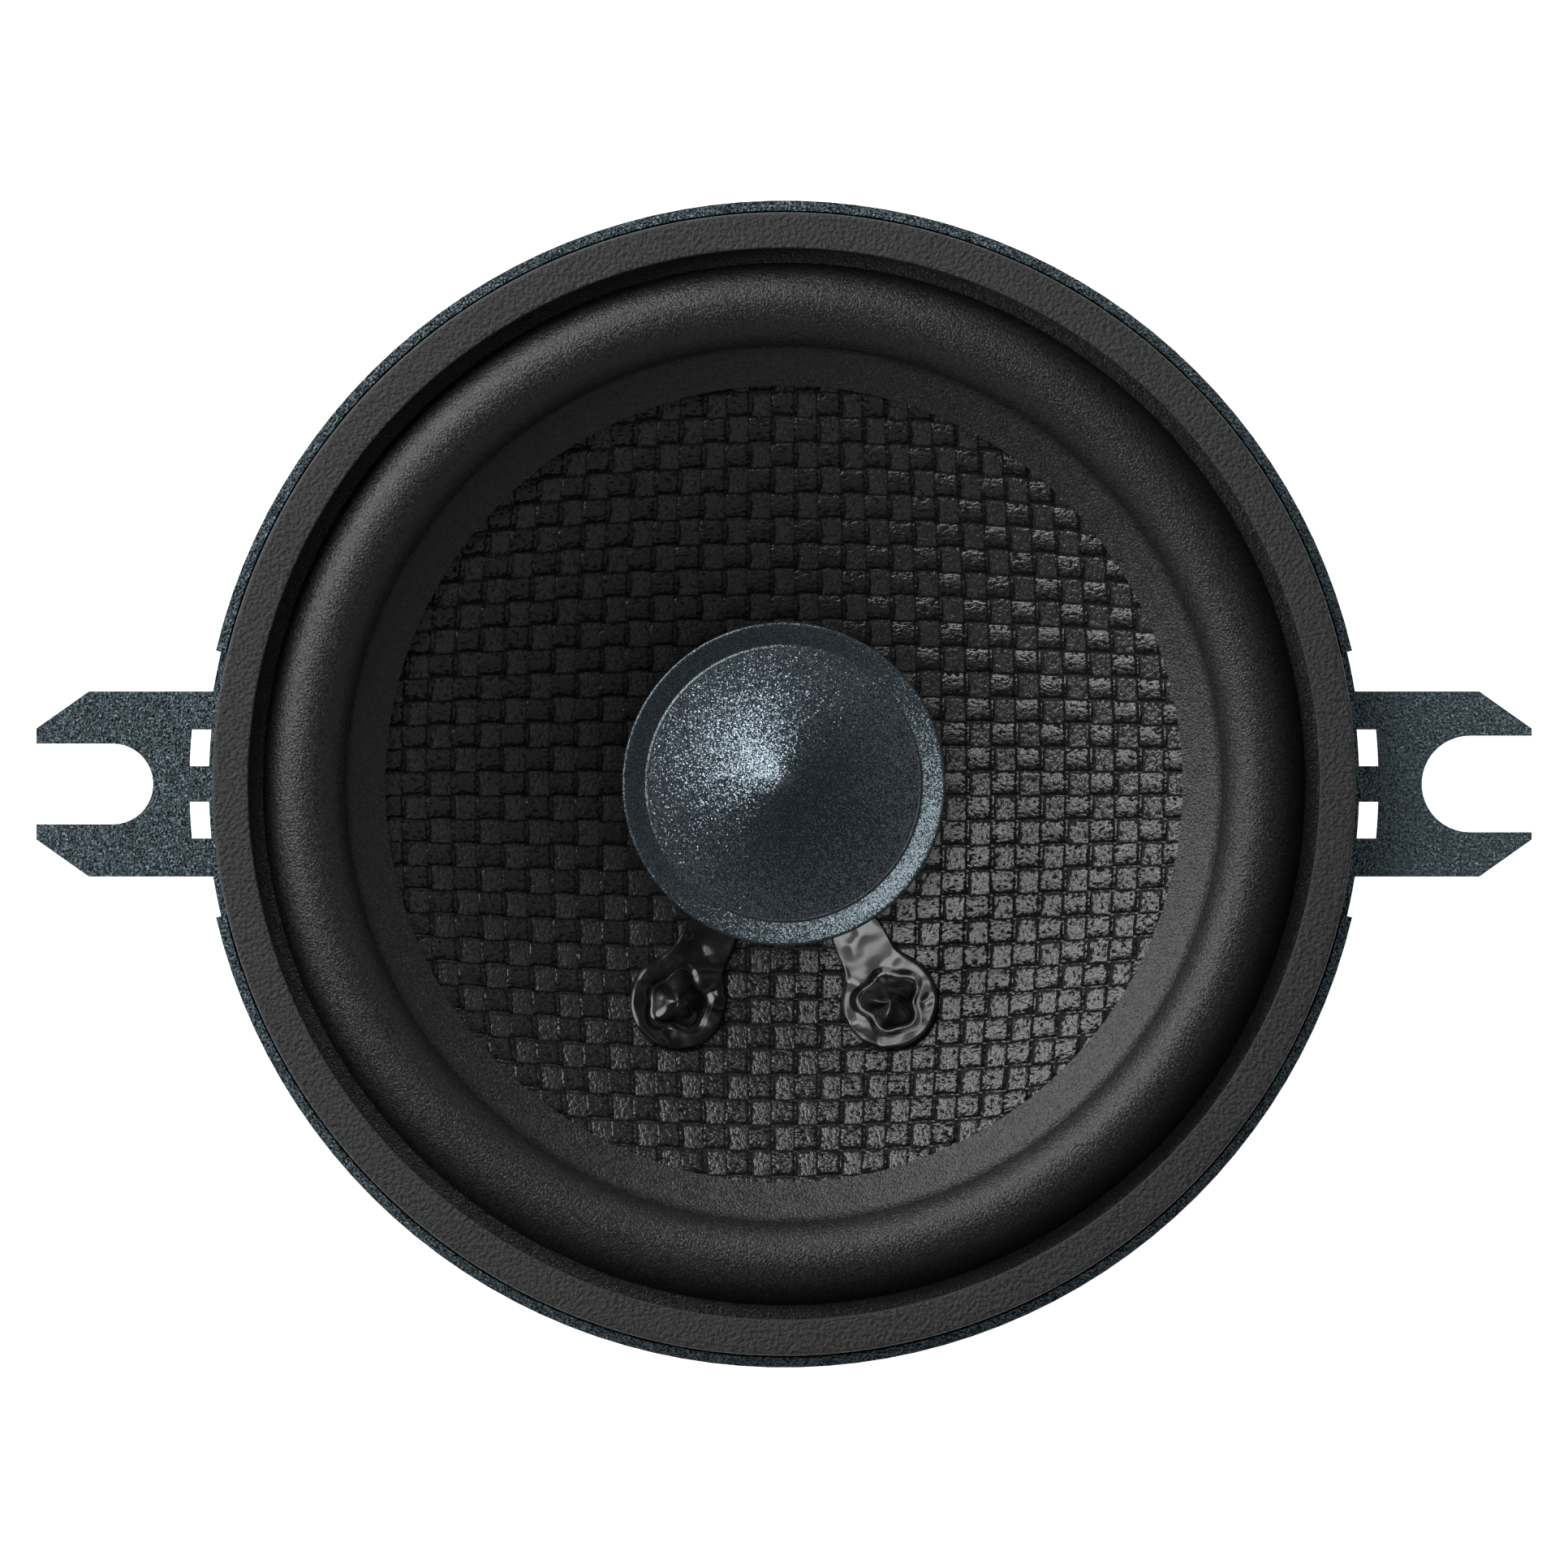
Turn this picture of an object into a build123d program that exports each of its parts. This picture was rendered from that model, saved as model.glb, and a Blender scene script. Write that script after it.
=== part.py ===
from build123d import *
from math import cos, hypot, radians, sin, tan
import os

# A 3.5 inch (87 mm class) coaxial car speaker: a woven cone with a conical dome tweeter held on a
# post in front of it. Z = 0 is the rear face of the flange, which meets the panel, and the speaker
# fires towards +Z. The two mounting ears lie along X, and the terminals are on the -Y side.
# Every length is in millimetres and every angle in degrees.

# ---------------------------------------------------------------- clearances
GLUE_GAP = 0.1            # cement line between the moving cone and its suspensions
COIL_CLEARANCE = 0.5      # air on each side of the voice coil in its gap
GASKET_CLEARANCE = 0.2    # gasket to rim
BASKET_CLEARANCE = 0.3    # roll of the surround to the wall that it hangs over
PIECE_GAP = 0.1           # between pieces that are placed, not pressed

# ---------------------------------------------------------------- voice coil and magnet
POLE_R = 9.6
FORMER_WALL = 0.25
COIL_THICKNESS = 0.5
COIL_HEIGHT = 6.5
TOP_PLATE_R = 28.0
TOP_PLATE_THICKNESS = 3.5
MAGNET_R = 30.0
MAGNET_BORE_R = 14.0
MAGNET_THICKNESS = 12.0
BACK_PLATE_R = 28.0
BACK_PLATE_THICKNESS = 4.0
MOTOR_CHAMFER = 0.8
VENT_R = 5.0              # bore through the pole

FORMER_R = POLE_R + COIL_CLEARANCE
NECK_R = FORMER_R + FORMER_WALL
COIL_R = NECK_R + COIL_THICKNESS
GAP_HOLE_R = COIL_R + COIL_CLEARANCE

# ---------------------------------------------------------------- cone, surround and gasket
CONE_R = 35.0
CONE_SLOPE = 27.0
CONE_THICKNESS = 0.4
NECK_LENGTH = 1.2
LIP_WIDTH = 2.9           # inner edge of the surround, cemented on the front of the cone
ROLL_FOOT = 0.2
ROLL_WIDTH = 6.8
ROLL_HEIGHT = 2.9
SURROUND_THICKNESS = 0.5
STEP_WIDTH = 1.3          # flat of the surround that shows inside the gasket
GASKET_WIDTH = 2.9
GASKET_THICKNESS = 3.5
DUST_RING_BORE_GAP = 0.7
DUST_RING_THICKNESS = 0.4

ROLL_R_IN = CONE_R + ROLL_FOOT
ROLL_R_OUT = ROLL_R_IN + ROLL_WIDTH
GASKET_R_IN = ROLL_R_OUT + STEP_WIDTH
GASKET_R_OUT = GASKET_R_IN + GASKET_WIDTH

# ---------------------------------------------------------------- pressed steel basket
SHEET = 0.8
SHEET_BEND = 1.3          # outer radius of a bend in the sheet
RIM_HEIGHT = 2.2
RIM_STAND_OUT = 0.4       # rim past the bare edge of the flange beside each ear
RIM_GAP_ANGLE = 13.2      # half of the gap in the rim at each ear
SPIGOT_LENGTH = 3.5       # straight wall that drops through the panel cut-out
SHELF_R = 32.0
FLOOR_DEPTH = 4.0         # from the shelf down to the floor
FLOOR_HOLE_R = 15.0
LEG_WIDTH = 9.0
WINDOW_COUNT = 4
WINDOW_INNER_MARGIN = 1.3
WINDOW_OUTER_MARGIN = 1.7
RIVET_COUNT = 4
RIVET_R = 1.2
RIVET_HEAD_R = 1.8
RIVET_HEAD_HEIGHT = 0.8
RIVET_CIRCLE_R = 19.8

RIM_R = GASKET_R_OUT + GASKET_CLEARANCE + SHEET
FLANGE_R = RIM_R - RIM_STAND_OUT
SPIGOT_R = ROLL_R_OUT + BASKET_CLEARANCE

# ---------------------------------------------------------------- mounting ears
EAR_WIDTH = 15.0
EAR_REACH = 13.3          # past the rim, to the tip
EAR_CHAMFER = 4.25        # length of the cut corner along the ear
EAR_TIP_WIDTH = 9.0
LEFT_SLOT_WIDTH = 6.5
LEFT_SLOT_DEPTH = 6.2     # from the tip to the centre of the slot's round end
RIGHT_SLOT_WIDTH = 7.8
RIGHT_SLOT_DEPTH = 5.0
EAR_WINDOW_INSET = 0.25   # the two small windows at the root of each ear
EAR_WINDOW_LENGTH = 1.55
EAR_WINDOW_NEAR = 1.45
EAR_WINDOW_FAR = 4.4

EAR_TIP = RIM_R + EAR_REACH

# ---------------------------------------------------------------- heights
FEET_Z = SHEET + SURROUND_THICKNESS      # front of the surround at both feet of its roll
GASKET_TOP = FEET_Z + GASKET_THICKNESS
LIP_RISE = SURROUND_THICKNESS / cos(radians(CONE_SLOPE)) + GLUE_GAP
CONE_EDGE_Z = FEET_Z - ROLL_FOOT * tan(radians(CONE_SLOPE)) - LIP_RISE
SPIDER_BELOW_NECK = 1.1
SPIDER_THICKNESS = 0.35
SPIDER_WAVE = 0.8
SPIDER_WAVES = 3
SPIDER_COLLAR_WIDTH = 3.2

SPIDER_R = SHELF_R - SHEET - PIECE_GAP
SPIDER_WAVES_R_OUT = SPIDER_R - SPIDER_COLLAR_WIDTH
SPIDER_WAVES_R_IN = NECK_R + GLUE_GAP + SPIDER_COLLAR_WIDTH / 2
SPIDER_PITCH = (SPIDER_WAVES_R_OUT - SPIDER_WAVES_R_IN) / (2 * SPIDER_WAVES)
FLOOR_WALL_R = SPIDER_WAVES_R_OUT - SPIDER_PITCH   # the shelf ends where the first wave comes down

NECK_Z = CONE_EDGE_Z - (CONE_R - NECK_R) * tan(radians(CONE_SLOPE))
SHELF_TOP = NECK_Z - NECK_LENGTH - SPIDER_BELOW_NECK
SHELF_Z = SHELF_TOP - SHEET
FLOOR_Z = SHELF_Z - FLOOR_DEPTH          # underside of the floor, on the top plate
TOP_PLATE_Z = FLOOR_Z - TOP_PLATE_THICKNESS
MAGNET_Z = TOP_PLATE_Z - MAGNET_THICKNESS
REAR_Z = MAGNET_Z - BACK_PLATE_THICKNESS
COIL_MIDDLE_Z = FLOOR_Z - TOP_PLATE_THICKNESS / 2

# ---------------------------------------------------------------- tweeter
POST_R = 4.0
POST_BORE_R = 1.6
POST_FUNNEL_R = 3.3       # wider top of the bore, where the leads bend into it
POST_FUNNEL_DEPTH = 4.0
POST_SHANK_LENGTH = 12.0
TWEETER_R = 13.1
TWEETER_Z = -7.0          # underside of the housing
HOUSING_FOOT_R = 9.6
HOUSING_WALL = 0.9
HOUSING_FLOOR = 1.0
HOUSING_SKIRT_Z = -1.0    # where the taper of the housing meets its straight rim
HOUSING_TOP = 1.6
FILM_THICKNESS = 0.2      # of the ring that the dome hangs on
FILM_OVERLAP = 0.8        # of that ring under the dome
BEZEL_OUTER_Z = 3.0
BEZEL_INNER_Z = 2.3
BEZEL_R_IN = 11.25
BEZEL_WALL = 0.8
BEZEL_SKIRT_Z = 0.4
DOME_R = 10.85
DOME_HEIGHT = 2.3
DOME_THICKNESS = 0.3
DOME_SHOULDER_R = 0.53 * DOME_R      # the dome is shallower outside this
DOME_SHOULDER_RISE = 0.28 * DOME_HEIGHT
LEAD_CHAMBER = 2.0        # room under the tweeter's magnet for its leads
LEDGE_R = 7.2
CUP_R = 8.2
CUP_WALL = 1.0
TWEETER_MAGNET_R = 5.6
TWEETER_MAGNET_THICKNESS = 2.1
POLE_PLATE_R = 6.0
POLE_PLATE_THICKNESS = 1.0
TWEETER_COIL_R = 6.35
TWEETER_COIL_WALL = 0.45
TWEETER_COIL_DEPTH = 1.0  # of the coil, down into its gap

DOME_EDGE_Z = HOUSING_TOP + FILM_THICKNESS + GLUE_GAP + DOME_THICKNESS
LEDGE_Z = TWEETER_Z + HOUSING_FLOOR + LEAD_CHAMBER
CUP_FLOOR_Z = LEDGE_Z + CUP_WALL
POLE_PLATE_Z = CUP_FLOOR_Z + TWEETER_MAGNET_THICKNESS
POLE_PLATE_TOP = POLE_PLATE_Z + POLE_PLATE_THICKNESS

# ---------------------------------------------------------------- leads and terminals
PATCH_CIRCLE_R = 19.6     # adhesive over the lead-outs, on the front of the cone
PATCH_ANGLE = 26.0        # each side of -Y
PATCH_R = 3.8
PATCH_ARM_WIDTH = 3.6
PATCH_ARM_R = 12.4        # inner end of the arm
PATCH_THICKNESS = 0.7
PATCH_BUMP_R = 2.0
PATCH_BUMP_THICKNESS = 1.5
EYELET_R = 0.9
EYELET_BORE_R = 0.45
EYELET_FLANGE = 0.3
TINSEL_DIAMETER = 0.9
TWEETER_LEAD_DIAMETER = 1.0
LEAD_PITCH = 1.3          # between the pair of tweeter leads
LEAD_TURN = 1.5           # from the axis to where they turn out into the groove
GROOVE_DEPTH = 1.7
GROOVE_WIDTH = 2.6
GROOVE_FLOOR_GAP = 0.1

HOLDER_R_IN = 34.0
HOLDER_R_OUT = 38.6
HOLDER_WIDTH = 21.0
HOLDER_HEIGHT = 5.0       # below the leg at its inner end
HOLDER_STRAP = 0.9        # over the leg
HOLDER_STRAP_R = 36.2
TAB_R = 35.2              # distance of the spade terminals from the axis, along -Y
TAB_X = 7.2
TAB_THICKNESS = 0.8
WIDE_TAB = 4.8
NARROW_TAB = 2.8
TAB_ABOVE = 1.6           # above the holder, for the tinsel
TAB_BELOW = 8.4           # below the holder, for the car's lead
TAB_HOLE_R = 0.7

CAPACITOR_R = 3.2
CAPACITOR_LENGTH = 11.0
CAPACITOR_ANGLE = 225.0
CAPACITOR_GAP = 0.3       # to the plate and shelf around it
CAPACITOR_LEAD = 0.6
CAPACITOR_LEAD_PITCH = 2.5
SPLICE_R = 0.9
ARC_SHARE = 0.45          # of the shorter run, taken by each bend of a lead


# ---------------------------------------------------------------- helpers
def turned(*corners):
    """Solid of revolution about Z with a closed outline of (radius, height) corners."""
    outline = make_face(Polyline(*corners, close=True))
    return revolve(Plane.XZ * outline, Axis.Z)


def tube(r_in, r_out, z_low, z_high):
    return turned((r_in, z_low), (r_out, z_low), (r_out, z_high), (r_in, z_high))


def disc(radius, z_low, z_high):
    solid = Cylinder(radius, z_high - z_low, align=(Align.CENTER, Align.CENTER, Align.MIN))
    return Pos(0, 0, z_low) * solid


def box(x_range, y_range, z_range):
    size = [high - low for low, high in (x_range, y_range, z_range)]
    middle = [(high + low) / 2 for low, high in (x_range, y_range, z_range)]
    return Pos(*middle) * Box(*size)


def thickened(path, thickness, side):
    """Solid of revolution of a sheet that lies on one side of a path of radius and height."""
    outline = make_face(offset(path, thickness, side=side).edges())
    return revolve(Plane.XZ * outline, Axis.Z)


def around(radius, angle, height=0.0):
    """Point at a radius and an angle from +X."""
    return Vector(radius * cos(radians(angle)), radius * sin(radians(angle)), height)


def rounded_route(points):
    """Straight runs joined by tangent arcs, each as large as its two runs allow."""
    corners = [Vector(*point) for point in points]
    radii = []
    for before, corner, after in zip(corners, corners[1:], corners[2:]):
        turn = (corner - before).get_angle(after - corner)
        shorter = min((corner - before).length, (after - corner).length)
        radii.append(ARC_SHARE * shorter / tan(radians(turn / 2)))
    return FilletPolyline(*corners, radius=radii) if radii else Line(*corners)


def wire_along(points, diameter):
    route = rounded_route(points)
    section = Plane(origin=route @ 0, z_dir=route % 0) * Circle(diameter / 2)
    return sweep(section, path=route)


def cone_front(radius):
    """Height of the front face of the cone."""
    return CONE_EDGE_Z - (CONE_R - radius) * tan(radians(CONE_SLOPE))


def cone_back(radius):
    return cone_front(radius) - CONE_THICKNESS / cos(radians(CONE_SLOPE))


def bend_length(turn):
    """Length that a bend in the sheet takes from each straight run beside it."""
    return SHEET_BEND * tan(radians(turn) / 2)


# ---------------------------------------------------------------- basket
def wall_corner():
    """Radius and height where the straight spigot would meet the sloping wall of the basket."""
    turn = 45.0
    return SPIGOT_R, -(SPIGOT_LENGTH + bend_length(turn))


def wall_rear(radius):
    """Height of the rear face of the sloping wall."""
    corner_r, corner_z = wall_corner()
    share = (corner_r - radius) / (corner_r - SHELF_R)
    return corner_z + share * (SHELF_Z - corner_z)


def wall_rise():
    """Vertical thickness of the sloping wall."""
    corner_r, corner_z = wall_corner()
    return SHEET * hypot(1, (corner_z - SHELF_Z) / (corner_r - SHELF_R))


def pressed_sheet():
    """Rim, flange, spigot, sloping wall, spider shelf and floor, from one disc of sheet."""
    rear_face = FilletPolyline(
        (RIM_R, RIM_HEIGHT),
        (RIM_R, 0),
        (SPIGOT_R, 0),
        wall_corner(),
        (SHELF_R, SHELF_Z),
        (FLOOR_WALL_R, SHELF_Z),
        (FLOOR_WALL_R, FLOOR_Z),
        (FLOOR_HOLE_R, FLOOR_Z),
        radius=[SHEET_BEND, 0, SHEET_BEND, SHEET_BEND, SHEET_BEND, SHEET_BEND / 2],
    )
    return thickened(rear_face, SHEET, Side.RIGHT)


def wedge(half_angle, r_in, r_out, z_low, z_high):
    """Sector of a ring about +X."""
    reach = 2 * r_out
    corners = [(0, 0), around(reach, -half_angle), around(reach, half_angle)]
    sector = extrude(make_face(Polyline(*corners, close=True)), z_high - z_low)
    return tube(r_in, r_out, z_low, z_high) & (Pos(0, 0, z_low) * sector)


def ear(slot_width, slot_depth):
    """Ear along +X, with an open slot in its tip."""
    root = FLANGE_R - GASKET_WIDTH
    outline = Polyline(
        (root, -EAR_WIDTH / 2),
        (EAR_TIP - EAR_CHAMFER, -EAR_WIDTH / 2),
        (EAR_TIP, -EAR_TIP_WIDTH / 2),
        (EAR_TIP, EAR_TIP_WIDTH / 2),
        (EAR_TIP - EAR_CHAMFER, EAR_WIDTH / 2),
        (root, EAR_WIDTH / 2),
        close=True,
    )
    plate = extrude(make_face(outline), SHEET)
    centre_x = EAR_TIP - slot_depth
    plate -= Pos(centre_x, 0, 0) * disc(slot_width / 2, -SHEET, 2 * SHEET)
    plate -= box((centre_x, EAR_TIP + SHEET), (-slot_width / 2, slot_width / 2), (-SHEET, 2 * SHEET))
    return plate


def ear_windows():
    """The pair of small windows at the root of the ear along +X."""
    r_in = FLANGE_R - EAR_WINDOW_INSET
    ring = tube(r_in, r_in + EAR_WINDOW_LENGTH, -SHEET, 2 * SHEET)
    windows = []
    for side in (-1, 1):
        rows = sorted((side * EAR_WINDOW_NEAR, side * EAR_WINDOW_FAR))
        windows.append(ring & box((0, EAR_TIP), rows, (-SHEET, 2 * SHEET)))
    return windows


def wall_window():
    """Window in the sloping wall, centred on +X, whose sides lie along its two legs."""
    r_in = SHELF_R + WINDOW_INNER_MARGIN
    r_out = SPIGOT_R - WINDOW_OUTER_MARGIN
    low, high = FLOOR_Z, -SPIGOT_LENGTH / 2
    half_sector = 180 / WINDOW_COUNT
    window = wedge(half_sector, r_in, r_out, low, high)
    for side in (-1, 1):
        leg = box((0, 2 * SPIGOT_R), (-LEG_WIDTH / 2, LEG_WIDTH / 2), (low, high))
        window -= Rot(0, 0, side * half_sector) * leg
    return window


def rivet_places():
    return [around(RIVET_CIRCLE_R, 360 * (n + 0.5) / RIVET_COUNT) for n in range(RIVET_COUNT)]


def basket():
    body = pressed_sheet()
    rim_gap = wedge(RIM_GAP_ANGLE, FLANGE_R, 2 * RIM_R, -SHEET, 2 * RIM_HEIGHT)
    rim_gap += wedge(RIM_GAP_ANGLE, GASKET_R_OUT, 2 * RIM_R, SHEET, 2 * RIM_HEIGHT)
    for turn, slot_width, slot_depth in (
        (0, RIGHT_SLOT_WIDTH, RIGHT_SLOT_DEPTH),
        (180, LEFT_SLOT_WIDTH, LEFT_SLOT_DEPTH),
    ):
        body -= Rot(0, 0, turn) * rim_gap
        body += Rot(0, 0, turn) * ear(slot_width, slot_depth)
        for window in ear_windows():
            body -= Rot(0, 0, turn) * window
    for n in range(WINDOW_COUNT):
        body -= Rot(0, 0, 360 * (n + 0.5) / WINDOW_COUNT) * wall_window()
    for place in rivet_places():
        body -= Pos(*place) * disc(RIVET_R, FLOOR_Z - SHEET, SHELF_Z)
    return body


def basket_rivets():
    """Rivets that stake the floor of the basket to the top plate."""
    floor_top = FLOOR_Z + SHEET
    rivets = []
    for place in rivet_places():
        shank = disc(RIVET_R, TOP_PLATE_Z, floor_top)
        head = disc(RIVET_HEAD_R, floor_top, floor_top + RIVET_HEAD_HEIGHT)
        head = chamfer(head.edges().group_by(Axis.Z)[-1], RIVET_HEAD_HEIGHT / 3)
        rivets.append(Pos(*place) * (shank + head))
    return rivets


# ---------------------------------------------------------------- motor
def top_plate():
    plate = tube(GAP_HOLE_R, TOP_PLATE_R, TOP_PLATE_Z, FLOOR_Z)
    for place in rivet_places():
        plate -= Pos(*place) * disc(RIVET_R, TOP_PLATE_Z - SHEET, FLOOR_Z + SHEET)
    return plate


def magnet():
    return turned(
        (MAGNET_BORE_R, MAGNET_Z),
        (MAGNET_R - MOTOR_CHAMFER, MAGNET_Z),
        (MAGNET_R, MAGNET_Z + MOTOR_CHAMFER),
        (MAGNET_R, TOP_PLATE_Z - MOTOR_CHAMFER),
        (MAGNET_R - MOTOR_CHAMFER, TOP_PLATE_Z),
        (MAGNET_BORE_R, TOP_PLATE_Z),
    )


def pole_yoke():
    """Back plate and pole in one piece, with the vent and the groove that the tweeter leads lie in."""
    yoke = turned(
        (VENT_R, REAR_Z),
        (BACK_PLATE_R - MOTOR_CHAMFER, REAR_Z),
        (BACK_PLATE_R, REAR_Z + MOTOR_CHAMFER),
        (BACK_PLATE_R, MAGNET_Z),
        (POLE_R, MAGNET_Z),
        (POLE_R, FLOOR_Z),
        (VENT_R, FLOOR_Z),
    )
    groove = box(
        (-GROOVE_WIDTH / 2, GROOVE_WIDTH / 2),
        (-2 * BACK_PLATE_R, 0),
        (REAR_Z - GROOVE_DEPTH, REAR_Z + GROOVE_DEPTH),
    )
    return yoke - groove


# ---------------------------------------------------------------- moving cone
def cone():
    front = Polyline((CONE_R, CONE_EDGE_Z), (NECK_R, NECK_Z), (NECK_R, NECK_Z - NECK_LENGTH))
    body = thickened(front, CONE_THICKNESS, Side.LEFT)
    for place in patch_places():
        body -= Pos(*place) * disc(EYELET_R, NECK_Z, RIM_HEIGHT)
    return body


def voice_coil_former():
    return tube(FORMER_R, NECK_R, COIL_MIDDLE_Z - COIL_HEIGHT / 2 - FORMER_WALL, NECK_Z)


def voice_coil_winding():
    return tube(NECK_R, COIL_R, COIL_MIDDLE_Z - COIL_HEIGHT / 2, COIL_MIDDLE_Z + COIL_HEIGHT / 2)


def dust_ring():
    """Cloth ring that closes the neck of the cone around the tweeter's post."""
    bore_r = POST_R + DUST_RING_BORE_GAP
    return tube(bore_r, FORMER_R, NECK_Z - DUST_RING_THICKNESS - NECK_LENGTH / 2, NECK_Z - NECK_LENGTH / 2)


def surround():
    """Half roll between the cone and the flange, with a flat under the gasket and a lip on the cone."""
    lip_r = CONE_R - LIP_WIDTH
    outer_r = RIM_R - SHEET_BEND - PIECE_GAP
    middle_r = (ROLL_R_IN + ROLL_R_OUT) / 2
    outer_flat = Line((outer_r, FEET_Z), (ROLL_R_OUT, FEET_Z))
    roll = ThreePointArc((ROLL_R_OUT, FEET_Z), (middle_r, FEET_Z + ROLL_HEIGHT), (ROLL_R_IN, FEET_Z))
    lip = Line((ROLL_R_IN, FEET_Z), (lip_r, cone_front(lip_r) + LIP_RISE))
    return thickened(Wire([outer_flat, roll, lip]), SURROUND_THICKNESS, Side.LEFT)


def front_gasket():
    return tube(GASKET_R_IN, GASKET_R_OUT, FEET_Z, GASKET_TOP)


def spider():
    """Corrugated cloth that centres the voice coil."""
    rest_z = SHELF_TOP + SPIDER_THICKNESS
    collar_r = NECK_R + GLUE_GAP
    points = [(SPIDER_R, rest_z), (SPIDER_WAVES_R_OUT, rest_z)]
    for n in range(2 * SPIDER_WAVES):
        height = SPIDER_WAVE if n % 2 == 0 else -SPIDER_WAVE
        points.append((SPIDER_WAVES_R_OUT - SPIDER_PITCH * (n + 0.5), rest_z + height))
    points.append((SPIDER_WAVES_R_IN, rest_z))
    points.append((collar_r, rest_z))
    points.append((collar_r, rest_z - NECK_LENGTH))
    path = FilletPolyline(*points, radius=SPIDER_THICKNESS + PIECE_GAP)
    return thickened(path, SPIDER_THICKNESS, Side.LEFT)


# ---------------------------------------------------------------- tweeter
def tweeter_post():
    """Hollow post, pressed into the vent of the pole, that carries the tweeter and its leads."""
    foot_z = FLOOR_Z - POST_SHANK_LENGTH
    funnel_z = TWEETER_Z - POST_FUNNEL_DEPTH
    return turned(
        (POST_BORE_R, foot_z),
        (VENT_R, foot_z),
        (VENT_R, FLOOR_Z),
        (POST_R, FLOOR_Z),
        (POST_R, TWEETER_Z),
        (POST_FUNNEL_R, TWEETER_Z),
        (POST_FUNNEL_R, funnel_z),
        (POST_BORE_R, funnel_z),
    )


def housing_taper(z):
    """Outer radius of the housing's tapered side."""
    top_r = TWEETER_R - BEZEL_WALL
    share = (z - TWEETER_Z) / (HOUSING_SKIRT_Z - TWEETER_Z)
    return HOUSING_FOOT_R + share * (top_r - HOUSING_FOOT_R)


def tweeter_housing():
    floor_z = TWEETER_Z + HOUSING_FLOOR
    rim_r = TWEETER_R - BEZEL_WALL
    body = turned(
        (POST_FUNNEL_R, TWEETER_Z),
        (HOUSING_FOOT_R, TWEETER_Z),
        (rim_r, HOUSING_SKIRT_Z),
        (rim_r, HOUSING_TOP),
        (rim_r - HOUSING_WALL, HOUSING_TOP),
        (rim_r - HOUSING_WALL, HOUSING_SKIRT_Z),
        (housing_taper(LEDGE_Z) - HOUSING_WALL, LEDGE_Z),
        (LEDGE_R, LEDGE_Z),
        (LEDGE_R, floor_z),
        (POST_FUNNEL_R, floor_z),
    )
    lead_notch = box((-LEAD_PITCH, LEAD_PITCH), (0, beside_cup() + LEAD_PITCH / 2), (floor_z, LEDGE_Z))
    return body - lead_notch


def beside_cup():
    """Distance from the axis to the tweeter leads where they pass the cup."""
    return CUP_R + PIECE_GAP + TWEETER_LEAD_DIAMETER / 2


def tweeter_cup():
    floor = disc(CUP_R, LEDGE_Z, CUP_FLOOR_Z)
    return floor + tube(CUP_R - CUP_WALL, CUP_R, LEDGE_Z, POLE_PLATE_TOP)


def tweeter_magnet():
    return disc(TWEETER_MAGNET_R, CUP_FLOOR_Z, POLE_PLATE_Z)


def tweeter_pole_plate():
    return disc(POLE_PLATE_R, POLE_PLATE_Z, POLE_PLATE_TOP)


def dome_under(radius):
    """Height of the underside of the dome."""
    if radius > DOME_SHOULDER_R:
        rise = DOME_SHOULDER_RISE * (DOME_R - radius) / (DOME_R - DOME_SHOULDER_R)
    else:
        rise = DOME_HEIGHT - (DOME_HEIGHT - DOME_SHOULDER_RISE) * radius / DOME_SHOULDER_R
    return DOME_EDGE_Z + rise - DOME_THICKNESS


def tweeter_diaphragm():
    """Shallow conical dome, steeper in its middle."""
    under = [(radius, dome_under(radius)) for radius in (0, DOME_SHOULDER_R, DOME_R)]
    front = [(radius, z + DOME_THICKNESS) for radius, z in reversed(under)]
    return turned(*under, *front)


def tweeter_voice_coil():
    r_out = TWEETER_COIL_R + TWEETER_COIL_WALL
    low = POLE_PLATE_TOP - TWEETER_COIL_DEPTH
    return turned(
        (TWEETER_COIL_R, low),
        (r_out, low),
        (r_out, dome_under(r_out)),
        (TWEETER_COIL_R, dome_under(TWEETER_COIL_R)),
    )


def tweeter_surround():
    """Film ring, clamped between housing and bezel, that the dome hangs on."""
    return tube(DOME_R - FILM_OVERLAP, TWEETER_R - BEZEL_WALL, HOUSING_TOP, HOUSING_TOP + FILM_THICKNESS)


def tweeter_bezel():
    """Trim ring whose face falls inward to a fine raised edge around the dome."""
    inner_wall_r = TWEETER_R - BEZEL_WALL
    seat_z = HOUSING_TOP + FILM_THICKNESS
    edge_z = BEZEL_INNER_Z + 2 * PIECE_GAP
    return turned(
        (BEZEL_R_IN, seat_z),
        (inner_wall_r, seat_z),
        (inner_wall_r, BEZEL_SKIRT_Z),
        (TWEETER_R, BEZEL_SKIRT_Z),
        (TWEETER_R, BEZEL_OUTER_Z - 2 * PIECE_GAP),
        (TWEETER_R - 2 * PIECE_GAP, BEZEL_OUTER_Z),
        (BEZEL_R_IN + 3 * PIECE_GAP, BEZEL_INNER_Z),
        (BEZEL_R_IN + 2 * PIECE_GAP, edge_z),
        (BEZEL_R_IN, edge_z),
    )


# ---------------------------------------------------------------- cone lead-outs
def patch_places():
    return [around(PATCH_CIRCLE_R, 270 + side * PATCH_ANGLE) for side in (-1, 1)]


def on_cone(thickness):
    """Layer of even height on the front of the cone."""
    return turned(
        (NECK_R, cone_front(NECK_R)),
        (CONE_R, cone_front(CONE_R)),
        (CONE_R, cone_front(CONE_R) + thickness),
        (NECK_R, cone_front(NECK_R) + thickness),
    )


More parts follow.
